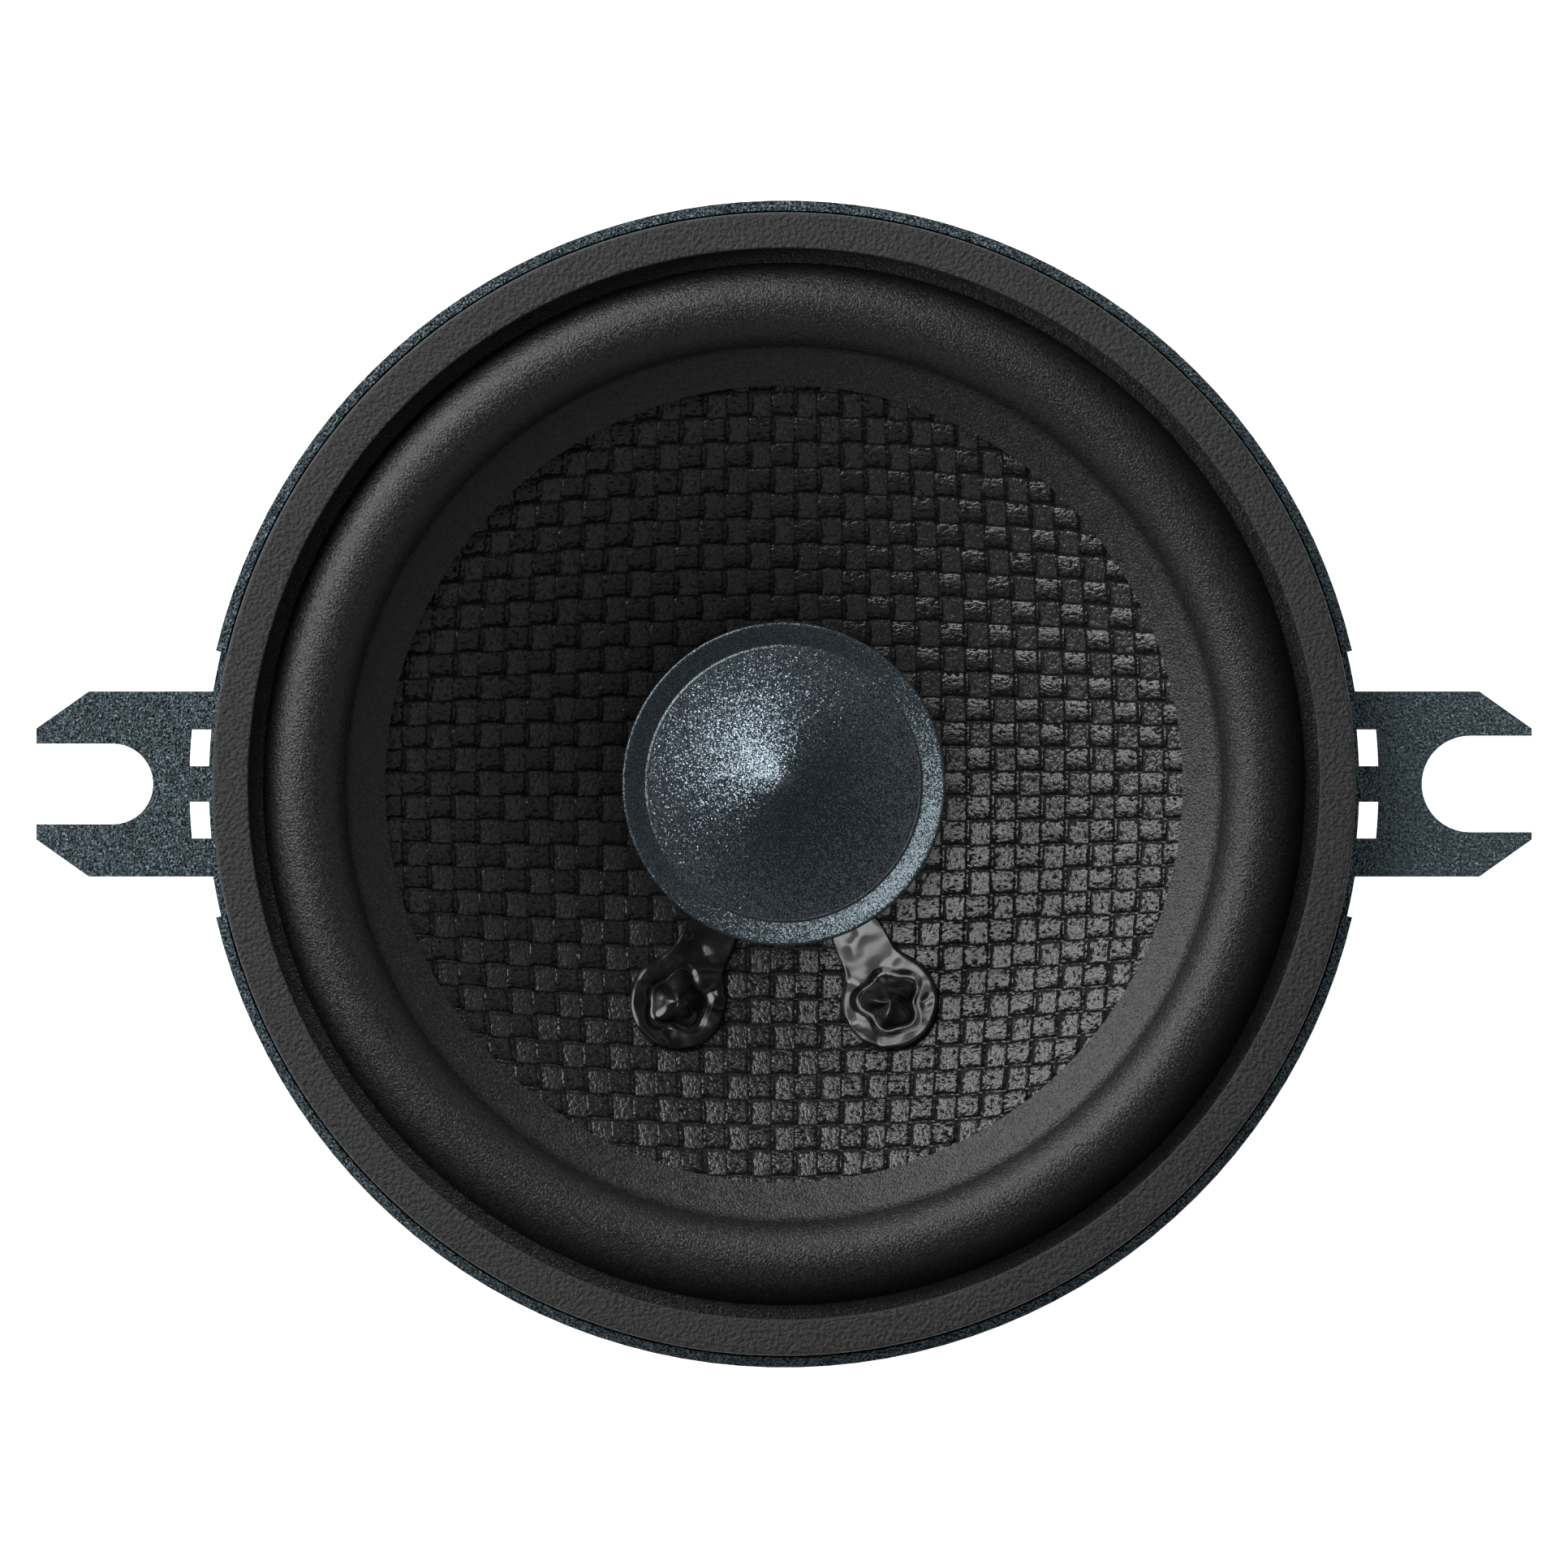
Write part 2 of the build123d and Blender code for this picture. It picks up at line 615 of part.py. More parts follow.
def lead_adhesive():
    """Round pads of adhesive with an arm in towards the neck, over the voice coil's lead-outs."""
    pads = []
    for place, angle in zip(patch_places(), (270 - PATCH_ANGLE, 270 + PATCH_ANGLE)):
        column = Pos(*place) * disc(PATCH_R, NECK_Z, RIM_R)
        half = PATCH_ARM_WIDTH / 2
        arm = box((PATCH_ARM_R, PATCH_CIRCLE_R), (-half, half), (NECK_Z, RIM_R))
        pad = (column + Rot(0, 0, angle) * arm) & on_cone(PATCH_THICKNESS)
        pad += (Pos(*place) * disc(PATCH_BUMP_R, NECK_Z, RIM_R)) & on_cone(PATCH_BUMP_THICKNESS)
        eyelet_top = cone_front(PATCH_CIRCLE_R) + PATCH_THICKNESS
        pads.append(pad - Pos(*place) * disc(EYELET_R, NECK_Z, eyelet_top))
    return pads


def eyelet_bottom():
    return cone_back(PATCH_CIRCLE_R - EYELET_R) - EYELET_FLANGE


def lead_eyelets():
    """Brass eyelets that take the tinsel leads through the cone."""
    top = cone_front(PATCH_CIRCLE_R) + PATCH_THICKNESS
    sleeve = tube(EYELET_BORE_R, EYELET_R, eyelet_bottom(), top)
    return [Pos(*place) * sleeve for place in patch_places()]


# ---------------------------------------------------------------- terminals
def leg_slot():
    """Slot through the holder for the basket leg on the -Y side."""
    r_in, r_out = SHELF_R, SPIGOT_R
    slab = turned(
        (r_in, wall_rear(r_in) - PIECE_GAP),
        (r_out, wall_rear(r_out) - PIECE_GAP),
        (r_out, wall_rear(r_out) + wall_rise() + PIECE_GAP),
        (r_in, wall_rear(r_in) + wall_rise() + PIECE_GAP),
    )
    half = LEG_WIDTH / 2 + PIECE_GAP
    return slab & box((-half, half), (-SPIGOT_R, 0), (REAR_Z, GASKET_TOP))


def terminal_holder():
    """Moulded block that clips round the basket leg on the -Y side and holds both spades."""
    bottom = wall_rear(HOLDER_R_IN) - HOLDER_HEIGHT
    outline = Polyline(
        (HOLDER_R_IN, bottom),
        (HOLDER_R_OUT, bottom),
        (HOLDER_R_OUT, wall_rear(HOLDER_R_OUT) + wall_rise() + HOLDER_STRAP),
        (HOLDER_STRAP_R, wall_rear(HOLDER_STRAP_R) + wall_rise() + HOLDER_STRAP),
        (HOLDER_STRAP_R, wall_rear(HOLDER_STRAP_R)),
        (HOLDER_R_IN, wall_rear(HOLDER_R_IN)),
        close=True,
    )
    block = extrude(Plane.XZ * make_face(outline), HOLDER_WIDTH / 2, both=True)
    block = Rot(0, 0, -90) * block - leg_slot()
    return block - terminal(-TAB_X, WIDE_TAB) - terminal(TAB_X, NARROW_TAB)


def terminal(x, width):
    """Spade terminal that stands along Z, with a hole near its free end."""
    top = wall_rear(TAB_R) + TAB_ABOVE
    bottom = wall_rear(HOLDER_R_IN) - HOLDER_HEIGHT - TAB_BELOW
    blade = box(
        (x - width / 2, x + width / 2),
        (-TAB_R - TAB_THICKNESS / 2, -TAB_R + TAB_THICKNESS / 2),
        (bottom, top),
    )
    blade = chamfer(blade.edges().filter_by(Axis.Y).group_by(Axis.Z)[0], TAB_THICKNESS)
    eye = Pos(x, -TAB_R, bottom + TAB_BELOW / 3) * Rot(90, 0, 0) * Cylinder(TAB_HOLE_R, 4 * TAB_THICKNESS)
    return blade - eye


def terminal_face():
    """The y of the inner face of the spades."""
    return -TAB_R + TAB_THICKNESS / 2


# ---------------------------------------------------------------- crossover and leads
def capacitor_frame():
    """Plane across the capacitor's lead end, with its x towards +Z and its z along the leads."""
    radius = TOP_PLATE_R + CAPACITOR_GAP + CAPACITOR_R
    height = (SHELF_Z + TOP_PLATE_Z) / 2
    along = around(1, CAPACITOR_ANGLE + 90)
    return Plane(origin=around(radius, CAPACITOR_ANGLE, height) + along * (CAPACITOR_LENGTH / 2),
                 x_dir=(0, 0, 1), z_dir=along)


def crossover_capacitor():
    can = capacitor_frame() * Cylinder(
        CAPACITOR_R, CAPACITOR_LENGTH, align=(Align.CENTER, Align.CENTER, Align.MAX)
    )
    return fillet(can.edges().filter_by(GeomType.CIRCLE), CAPACITOR_R / 8)


def capacitor_lead_start(side):
    frame = capacitor_frame()
    start = frame.origin + frame.x_dir * (side * CAPACITOR_LEAD_PITCH / 2)
    return start, start + frame.z_dir * (2 * CAPACITOR_LEAD_PITCH)


def splice_ends():
    """Ends of the sleeve over the joint of the capacitor with the tweeter's lead."""
    return Vector(-8.4, -32.6, -22.6), Vector(-13.2, -31.6, -21.4)


def capacitor_leads():
    """One lead to the wide spade, and one to the splice."""
    start, run = capacitor_lead_start(1)
    solder_y = terminal_face() + CAPACITOR_LEAD / 2
    solder_z = wall_rear(HOLDER_R_IN) - HOLDER_HEIGHT - TAB_BELOW / 4
    to_spade = [start, run, (-TAB_X - WIDE_TAB, solder_y, solder_z), (-TAB_X, solder_y, solder_z)]
    start, run = capacitor_lead_start(-1)
    to_splice = [start, run, splice_ends()[1]]
    return [wire_along(to_spade, CAPACITOR_LEAD), wire_along(to_splice, CAPACITOR_LEAD)]


def lead_splice():
    near, far = splice_ends()
    sleeve = Plane(origin=near, z_dir=far - near) * Cylinder(
        SPLICE_R, (far - near).length, align=(Align.CENTER, Align.CENTER, Align.MIN)
    )
    return sleeve - capacitor_leads()[1] - tweeter_lead(-1)


def tweeter_lead(side):
    """Lead from beside the tweeter's motor, down the post and out along the back plate's groove."""
    x = side * LEAD_PITCH / 2
    radius = TWEETER_LEAD_DIAMETER / 2
    groove_z = REAR_Z + GROOVE_DEPTH - GROOVE_FLOOR_GAP - radius
    chamber_z = TWEETER_Z + HOUSING_FLOOR + PIECE_GAP + radius
    beside_magnet = -(MAGNET_R + PIECE_GAP + 2 * radius)
    points = [
        (x, beside_cup(), POLE_PLATE_Z),
        (x, beside_cup(), chamber_z),
        (x, POST_FUNNEL_R - 2 * radius, chamber_z),
        (x, 0, TWEETER_Z - POST_FUNNEL_DEPTH + 2 * radius),
        (x, -PIECE_GAP, FLOOR_Z - POST_SHANK_LENGTH),
        (x, -LEAD_TURN, groove_z),
        (x, beside_magnet + 3 * radius, groove_z),
        (x, beside_magnet, MAGNET_Z),
        (x, beside_magnet - radius / 2, TOP_PLATE_Z - 2 * TWEETER_LEAD_DIAMETER),
    ]
    if side < 0:
        near, far = splice_ends()
        points += [near + (near - far).normalized() * (2 * TWEETER_LEAD_DIAMETER), near]
    else:
        solder_y = terminal_face() + radius
        solder_z = wall_rear(HOLDER_R_IN) - HOLDER_HEIGHT - TAB_BELOW / 3
        points += [(TAB_X - NARROW_TAB, solder_y, solder_z), (TAB_X, solder_y, solder_z)]
    return wire_along(points, TWEETER_LEAD_DIAMETER)


def tinsel_lead(side):
    """Flexible braid from the eyelet in the cone to the top of a spade, with slack for the travel."""
    start = around(PATCH_CIRCLE_R, 270 + side * PATCH_ANGLE, eyelet_bottom())
    radius = TINSEL_DIAMETER / 2
    end = Vector(side * TAB_X, terminal_face() + radius, wall_rear(TAB_R) + TAB_ABOVE / 2)
    points = [
        start,
        start + Vector(0, -1.2, -2.6),
        start + Vector(side * 0.9, -6.6, -3.2),
        end + Vector(side * 1.6, 4.6, 1.4),
        end + Vector(side * 0.2, 1.1, 2.4),
        end,
    ]
    return wire_along(points, TINSEL_DIAMETER)


# ---------------------------------------------------------------- write every node
def save(name, *solids):
    piece = solids[0] if len(solids) == 1 else Compound(children=list(solids))
    export_step(piece, os.path.join("parts", f"{name}.step"))


os.makedirs("parts", exist_ok=True)
for maker in (
    basket,
    front_gasket,
    surround,
    cone,
    voice_coil_former,
    voice_coil_winding,
    dust_ring,
    spider,
    top_plate,
    magnet,
    pole_yoke,
    tweeter_post,
    tweeter_housing,
    tweeter_bezel,
    tweeter_diaphragm,
    tweeter_surround,
    tweeter_voice_coil,
    tweeter_cup,
    tweeter_magnet,
    tweeter_pole_plate,
    terminal_holder,
    crossover_capacitor,
    lead_splice,
):
    save(maker.__name__, maker())
for maker in (basket_rivets, lead_adhesive, lead_eyelets, capacitor_leads):
    save(maker.__name__, *maker())
save("terminal_positive", terminal(-TAB_X, WIDE_TAB))
save("terminal_negative", terminal(TAB_X, NARROW_TAB))
save("tinsel_lead_positive", tinsel_lead(-1))
save("tinsel_lead_negative", tinsel_lead(1))
save("tweeter_lead_positive", tweeter_lead(-1))
save("tweeter_lead_negative", tweeter_lead(1))
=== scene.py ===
from math import atan2, cos, hypot, pi, radians, sin, sqrt, tan

import bmesh
import bpy
import numpy as np
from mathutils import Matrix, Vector


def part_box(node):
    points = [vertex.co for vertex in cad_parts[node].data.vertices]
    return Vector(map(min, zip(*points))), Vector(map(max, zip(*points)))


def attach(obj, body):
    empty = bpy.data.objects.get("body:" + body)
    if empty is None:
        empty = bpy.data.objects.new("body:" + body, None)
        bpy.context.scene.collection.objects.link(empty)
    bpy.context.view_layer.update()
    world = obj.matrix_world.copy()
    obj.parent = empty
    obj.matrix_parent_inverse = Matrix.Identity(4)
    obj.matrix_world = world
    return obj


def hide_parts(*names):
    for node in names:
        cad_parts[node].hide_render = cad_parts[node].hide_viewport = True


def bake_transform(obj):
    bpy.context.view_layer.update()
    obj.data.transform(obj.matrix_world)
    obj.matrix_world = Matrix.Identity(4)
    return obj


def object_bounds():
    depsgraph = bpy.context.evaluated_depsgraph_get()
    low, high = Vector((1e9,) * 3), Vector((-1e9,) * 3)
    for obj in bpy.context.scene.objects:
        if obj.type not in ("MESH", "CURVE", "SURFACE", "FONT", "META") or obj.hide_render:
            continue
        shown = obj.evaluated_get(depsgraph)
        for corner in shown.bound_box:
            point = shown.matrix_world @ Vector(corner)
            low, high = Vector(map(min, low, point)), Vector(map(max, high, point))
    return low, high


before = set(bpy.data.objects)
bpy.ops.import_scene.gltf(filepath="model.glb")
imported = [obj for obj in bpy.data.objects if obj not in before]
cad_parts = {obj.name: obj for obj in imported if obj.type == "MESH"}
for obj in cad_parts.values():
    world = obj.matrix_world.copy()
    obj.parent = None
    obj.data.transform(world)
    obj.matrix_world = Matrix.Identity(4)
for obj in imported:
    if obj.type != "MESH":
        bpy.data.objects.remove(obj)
cad_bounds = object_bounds()

# A coaxial car speaker, seen from straight above: +Z fires forward and the terminals are on the -Y
# side. Lengths are in metres.
MM = 0.001

# ---------------------------------------------------------------- sizes
CONE_SLOPE = radians(27.0)
CONE_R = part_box("cone")[1].x
CONE_EDGE_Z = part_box("cone")[1].z
NECK_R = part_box("voice_coil_former")[1].x
NECK_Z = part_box("voice_coil_former")[1].z
NECK_LENGTH = 1.2 * MM

WARP_PITCH = 1.99 * MM           # tows that run along Y
WEFT_PITCH = 2.05 * MM           # tows that run along X
WARP_WIDTH = 1.68 * MM
WEFT_WIDTH = 1.88 * MM
WARP_CROWN = 0.05 * MM           # middle of a tow above its edges
WEFT_CROWN = 0.19 * MM
TOW_BELLY = 0.05 * MM
TOW_SWING = 0.17 * MM            # half of the rise and fall over and under the crossing tows
SWING_SHARPNESS = 7.0            # how flat a tow lies between its rises and falls
TOW_TUCK = 0.06 * MM             # how far a tow's fall lies under the tow that crosses it
WEAVE_SINK = 0.36 * MM           # middle of the cloth below the front of the CAD cone
DRAPE = 0.11                     # how far the grid draws in towards the rim of the cone
LIP_PRESS = 0.1 * MM             # how much farther down the lip holds the cloth
LIP_PRESS_START = 0.2 * MM       # inside the edge of the lip
LIP_PRESS_RUN = 0.3 * MM
CLOTH_GAP = 0.2 * MM             # from the edge of the cloth to the edge of the cone
CROSSING_STEPS = np.array([0.0, 0.3, 0.38, 0.44, 0.5, 0.56, 0.62, 0.7])
RESIN_FILM = 0.06 * MM
NECK_WALL = 0.35 * MM
NECK_FILLET = 0.4 * MM

LIP_WIDTH = 2.9 * MM
ROLL_FOOT = 0.2 * MM
ROLL_WIDTH = 6.8 * MM
ROLL_FOOT_FILLET = 0.35 * MM
SURROUND_THICKNESS = 0.5 * MM
LIP_EDGE_DROP = 0.25 * MM
RIPPLE_HEIGHT = 0.018 * MM       # weave that shows through the lip
RIPPLE_START = 0.6 * MM          # inside the foot of the roll
RIPPLE_RUN = 0.8 * MM
GLUE_GAP = 0.1 * MM
GASKET_WIDTH = 2.9 * MM
GASKET_WAVER = 0.02 * MM
GASKET_R_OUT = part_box("front_gasket")[1].x
GASKET_R_IN = GASKET_R_OUT - GASKET_WIDTH
FEET_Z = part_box("front_gasket")[0].z
GASKET_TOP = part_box("front_gasket")[1].z
ROLL_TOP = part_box("surround")[1].z
SURROUND_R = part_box("surround")[1].x
ROLL_R_IN = CONE_R + ROLL_FOOT
ROLL_R_OUT = ROLL_R_IN + ROLL_WIDTH
LIP_R = CONE_R - LIP_WIDTH
CLOTH_R = CONE_R - CLOTH_GAP

SPIDER_THICKNESS = 0.35 * MM
SPIDER_COLLAR = 3.2 * MM         # flat ring that is glued to the basket
SPIDER_WAVES = 3
SPIDER_WAVE_HEIGHT = 0.8 * MM

FLOOR_Z = cad_bounds[0].z


# ---------------------------------------------------------------- mesh helpers
def piece_from(name, points, faces, material, crease=40.0):
    """A mesh object of points and faces, smooth but for edges sharper than crease degrees."""
    mesh = bpy.data.meshes.new(name)
    mesh.from_pydata([tuple(p) for p in points], [], [tuple(f) for f in faces])
    shape = bmesh.new()
    shape.from_mesh(mesh)
    bmesh.ops.remove_doubles(shape, verts=shape.verts, dist=1e-7)
    bmesh.ops.recalc_face_normals(shape, faces=shape.faces)
    shape.to_mesh(mesh)
    shape.free()
    mesh.shade_smooth()
    mesh.set_sharp_from_angle(angle=radians(crease))
    mesh.materials.append(material)
    made = bpy.data.objects.new(name, mesh)
    bpy.context.scene.collection.objects.link(made)
    return made


def rounded(corners, steps=5):
    """Closed outline through corners of (radius, height, fillet), each corner turned into an arc."""
    outline = []
    for n, (r, z, fillet) in enumerate(corners):
        here = Vector((r, z))
        before = Vector(corners[n - 1][:2]) - here
        after = Vector(corners[(n + 1) % len(corners)][:2]) - here
        if fillet == 0 or before.length == 0 or after.length == 0:
            outline.append((r, z))
            continue
        half = before.angle(after) / 2
        reach = min(fillet / tan(half), before.length * 0.49, after.length * 0.49)
        start = here + before.normalized() * reach
        end = here + after.normalized() * reach
        for k in range(steps + 1):
            t = k / steps
            outline.append(tuple(start * (1 - t) ** 2 + here * 2 * t * (1 - t) + end * t**2))
    return outline


def spaced(outline, step):
    """The closed outline with points added along its long runs."""
    points = []
    for a, b in zip(outline, outline[1:] + outline[:1]):
        run_r, run_z = b[0] - a[0], b[1] - a[1]
        count = max(1, round(hypot(run_r, run_z) / step))
        points += [(a[0] + run_r * k / count, a[1] + run_z * k / count) for k in range(count)]
    return points


def lathe(name, outline, segments, material, lift=None, crease=40.0):
    """A closed outline of (radius, height) turned about Z. lift gives each point's rise from its
    radius and its angle."""
    ring = np.array(outline)
    angles = 2 * pi * np.arange(segments) / segments
    r = np.tile(ring[:, 0], (segments, 1))
    z = np.tile(ring[:, 1], (segments, 1))
    angle = np.tile(angles[:, None], (1, len(ring)))
    if lift is not None:
        z = z + lift(r, angle)
    points = np.stack([r * np.cos(angle), r * np.sin(angle), z], -1).reshape(-1, 3)
    return piece_from(name, points, tube_faces(segments, len(ring), closed=True), material, crease)


def tube_faces(count, around, closed=False):
    """Quads of a tube whose rings have the same number of points, capped at its ends unless closed."""
    index = np.arange(count * around).reshape(count, around)
    next_point = np.roll(index, -1, axis=1)
    rows = slice(None) if closed else slice(0, count - 1)
    a, b = index[rows], next_point[rows]
    c, d = np.roll(next_point, -1, axis=0)[rows], np.roll(index, -1, axis=0)[rows]
    faces = np.stack([a, b, c, d], -1).reshape(-1, 4).tolist()
    if not closed:
        faces += [index[0].tolist(), index[-1].tolist()]
    return faces


RING_SPACING = 0.12              # between the rings of a lead's mesh, in diameters


def wire_piece(name, route, diameter, material, segments, skin):
    """A round lead along its route. skin gives its radius, as a share of the full one, from the way
    travelled and the turn about the lead."""
    centres = [route[0]]
    for point in route[1:]:
        run = point - centres[-1]
        pieces = max(int(run.length / (diameter * RING_SPACING)), 1)
        centres += [centres[-1] + run * (k / pieces) for k in range(1, pieces + 1)]
    side = (centres[1] - centres[0]).orthogonal().normalized()
    points, travelled = [], 0.0
    for n, centre in enumerate(centres):
        ahead = centres[min(n + 1, len(centres) - 1)] - centres[max(n - 1, 0)]
        ahead.normalize()
        side = (side - ahead * side.dot(ahead)).normalized()
        other = ahead.cross(side)
        travelled += (centre - centres[n - 1]).length if n else 0.0
        for k in range(segments):
            turn = 2 * pi * k / segments
            radius = diameter / 2 * skin(travelled, turn)
            points.append(centre + (side * cos(turn) + other * sin(turn)) * radius)
    return piece_from(name, points, tube_faces(len(centres), segments), material, 60.0)


def blend_radially(piece):
    """Bakes a round piece's placement into its points and reads them back; it does not tie the piece to the
    frame or to any other body.
    """
    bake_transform(piece)
    co = np.zeros(len(piece.data.vertices) * 3)
    piece.data.vertices.foreach_get("co", co)


# ---------------------------------------------------------------- material helpers
def add(tree, kind, settings=None, **inputs):
    """A shader node. An input that is given a socket is linked, and one that is given a value is set."""
    made = tree.nodes.new(f"ShaderNode{kind}")
    for key, value in (settings or {}).items():
        setattr(made, key, value)
    for key, value in inputs.items():
        plug(tree, made.inputs[key.replace("_", " ")], value)
    return made


def plug(tree, socket, value):
    if isinstance(value, bpy.types.NodeSocket):
        tree.links.new(value, socket)
    else:
        socket.default_value = value


def math(tree, operation, first, second=0.0):
    made = tree.nodes.new("ShaderNodeMath")
    made.operation = operation
    plug(tree, made.inputs[0], first)
    plug(tree, made.inputs[1], second)
    return made.outputs[0]


def ramp(tree, factor, *stops):
    """Colour by factor, from stops of (place, (red, green, blue))."""
    made = add(tree, "ValToRGB", Fac=factor)
    elements = made.color_ramp.elements
    while len(elements) < len(stops):
        elements.new(0.5)
    for element, (place, colour) in zip(elements, stops):
        element.position = place
        element.color = (*colour, 1.0)
    return made.outputs["Color"]


def grain(tree, size, stretch=(1.0, 1.0, 1.0), detail=2.0, seed=0.0):
    """Noise whose lumps are about size wide, longer along an axis whose stretch is over 1."""
    place = add(tree, "TexCoord").outputs["Object"]
    scale = [1 / s for s in stretch]
    moved = add(tree, "Mapping", Vector=place, Scale=scale, Location=(seed, seed, seed)).outputs["Vector"]
    return add(tree, "TexNoise", Vector=moved, Scale=1 / size, Detail=detail).outputs["Fac"]


def scaled(tree, value, low, high, new_low, new_high):
    made = add(tree, "MapRange", Value=value)
    for key, number in (("From Min", low), ("From Max", high), ("To Min", new_low), ("To Max", new_high)):
        made.inputs[key].default_value = number
    return made.outputs["Result"]


def flaked(tree, normal, size, tilt):
    """The normal, tipped at random from one small facet to the next."""
    place = add(tree, "TexCoord").outputs["Object"]
    facets = add(tree, "TexVoronoi", Vector=place, Scale=1 / size).outputs["Color"]
    centred = add(tree, "VectorMath", {"operation": "SUBTRACT"})
    tree.links.new(facets, centred.inputs[0])
    centred.inputs[1].default_value = (0.5, 0.5, 0.5)
    tipped = add(tree, "VectorMath", {"operation": "MULTIPLY_ADD"})
    tree.links.new(centred.outputs["Vector"], tipped.inputs[0])
    tipped.inputs[1].default_value = (tilt, tilt, tilt)
    tree.links.new(normal, tipped.inputs[2])
    unit = add(tree, "VectorMath", {"operation": "NORMALIZE"})
    tree.links.new(tipped.outputs["Vector"], unit.inputs[0])
    return unit.outputs["Vector"]


def finish(name, dark, light, size, relief, roughness, stretch=(1, 1, 1), edge=0.0, detail=2.0,
           clouds=0.25, flakes=None, **sockets):
    """A grained surface: mottled between two colours, with relief in metres and a roughness range.
    edge rounds its corners for light. flakes are (size, tilt) of small facets that glint."""
    made = bpy.data.materials.new(name)
    made.use_nodes = True
    tree = made.node_tree
    shader = tree.nodes["Principled BSDF"]
    fine = grain(tree, size, stretch, detail)
    broad = grain(tree, size * 14, seed=3.0)
    fine_part = math(tree, "MULTIPLY", fine, 1 - clouds)
    broad_part = math(tree, "MULTIPLY", broad, clouds)
    tone = math(tree, "ADD", fine_part, broad_part)
    colour = ramp(tree, tone, (0.35, dark), (0.65, light))
    tree.links.new(colour, shader.inputs["Base Color"])
    tree.links.new(scaled(tree, fine, 0.3, 0.7, *roughness), shader.inputs["Roughness"])
    bump = add(tree, "Bump", Height=fine, Strength=1.0, Distance=relief)
    if edge:
        bevel = add(tree, "Bevel", {"samples": 4}, Radius=edge)
        tree.links.new(bevel.outputs["Normal"], bump.inputs["Normal"])
    normal = bump.outputs["Normal"]
    if flakes:
        normal = flaked(tree, normal, *flakes)
    tree.links.new(normal, shader.inputs["Normal"])
    for key, value in sockets.items():
        shader.inputs[key.replace("_", " ")].default_value = value
    return made


def cell_phases(tree, place, start):
    """How near a point is to the left and to the lower edge of its cell of the weave, 1 on the edge itself.
    start is where those edges lie past the middle of the gap between two tows."""
    parts = add(tree, "SeparateXYZ")
    tree.links.new(place, parts.inputs[0])
    x, y = parts.outputs["X"], parts.outputs["Y"]
    phases = []
    for way, other, pitch, edge in ((x, y, WARP_PITCH, start[0]), (y, x, WEFT_PITCH, start[1])):
        pull = math(tree, "MULTIPLY", math(tree, "MULTIPLY", other, other), DRAPE / CONE_R**2)
        flat = math(tree, "MULTIPLY", way, math(tree, "ADD", pull, 1.0))
        turn = math(tree, "MULTIPLY", math(tree, "SUBTRACT", flat, edge), 2 * pi / pitch)
        phases.append(scaled(tree, math(tree, "COSINE", turn), 1.0, -1.0, 0.0, 1.0))
    return phases


PIT_SIZE = 0.30 * MM
FIBRE_SIZE = 0.16 * MM
TOW_RELIEF = 0.25 * MM
PIT_EDGE = (0.385, 0.425)        # noise under the first is a pit, and over the second is resin
SHADOW_LINE_SHARPNESS = 26.0            # narrow painted shadow line along the edges of each cell
SHADOW_LINE_DEPTH = 0.26
SHADED_BELT_SHARPNESS = 2.5             # broad belt of painted shade beside such an edge
RESIN_SHINE = 0.75
NECK_SHADED_SHINE = 0.35                # share of the shine that is left near the neck, as painted shade under the tweeter
# The painted shade near the neck fades out between these two radii.
NECK_SHADE_START = NECK_R + 2.5 * MM
NECK_SHADE_END = NECK_R + 6 * MM


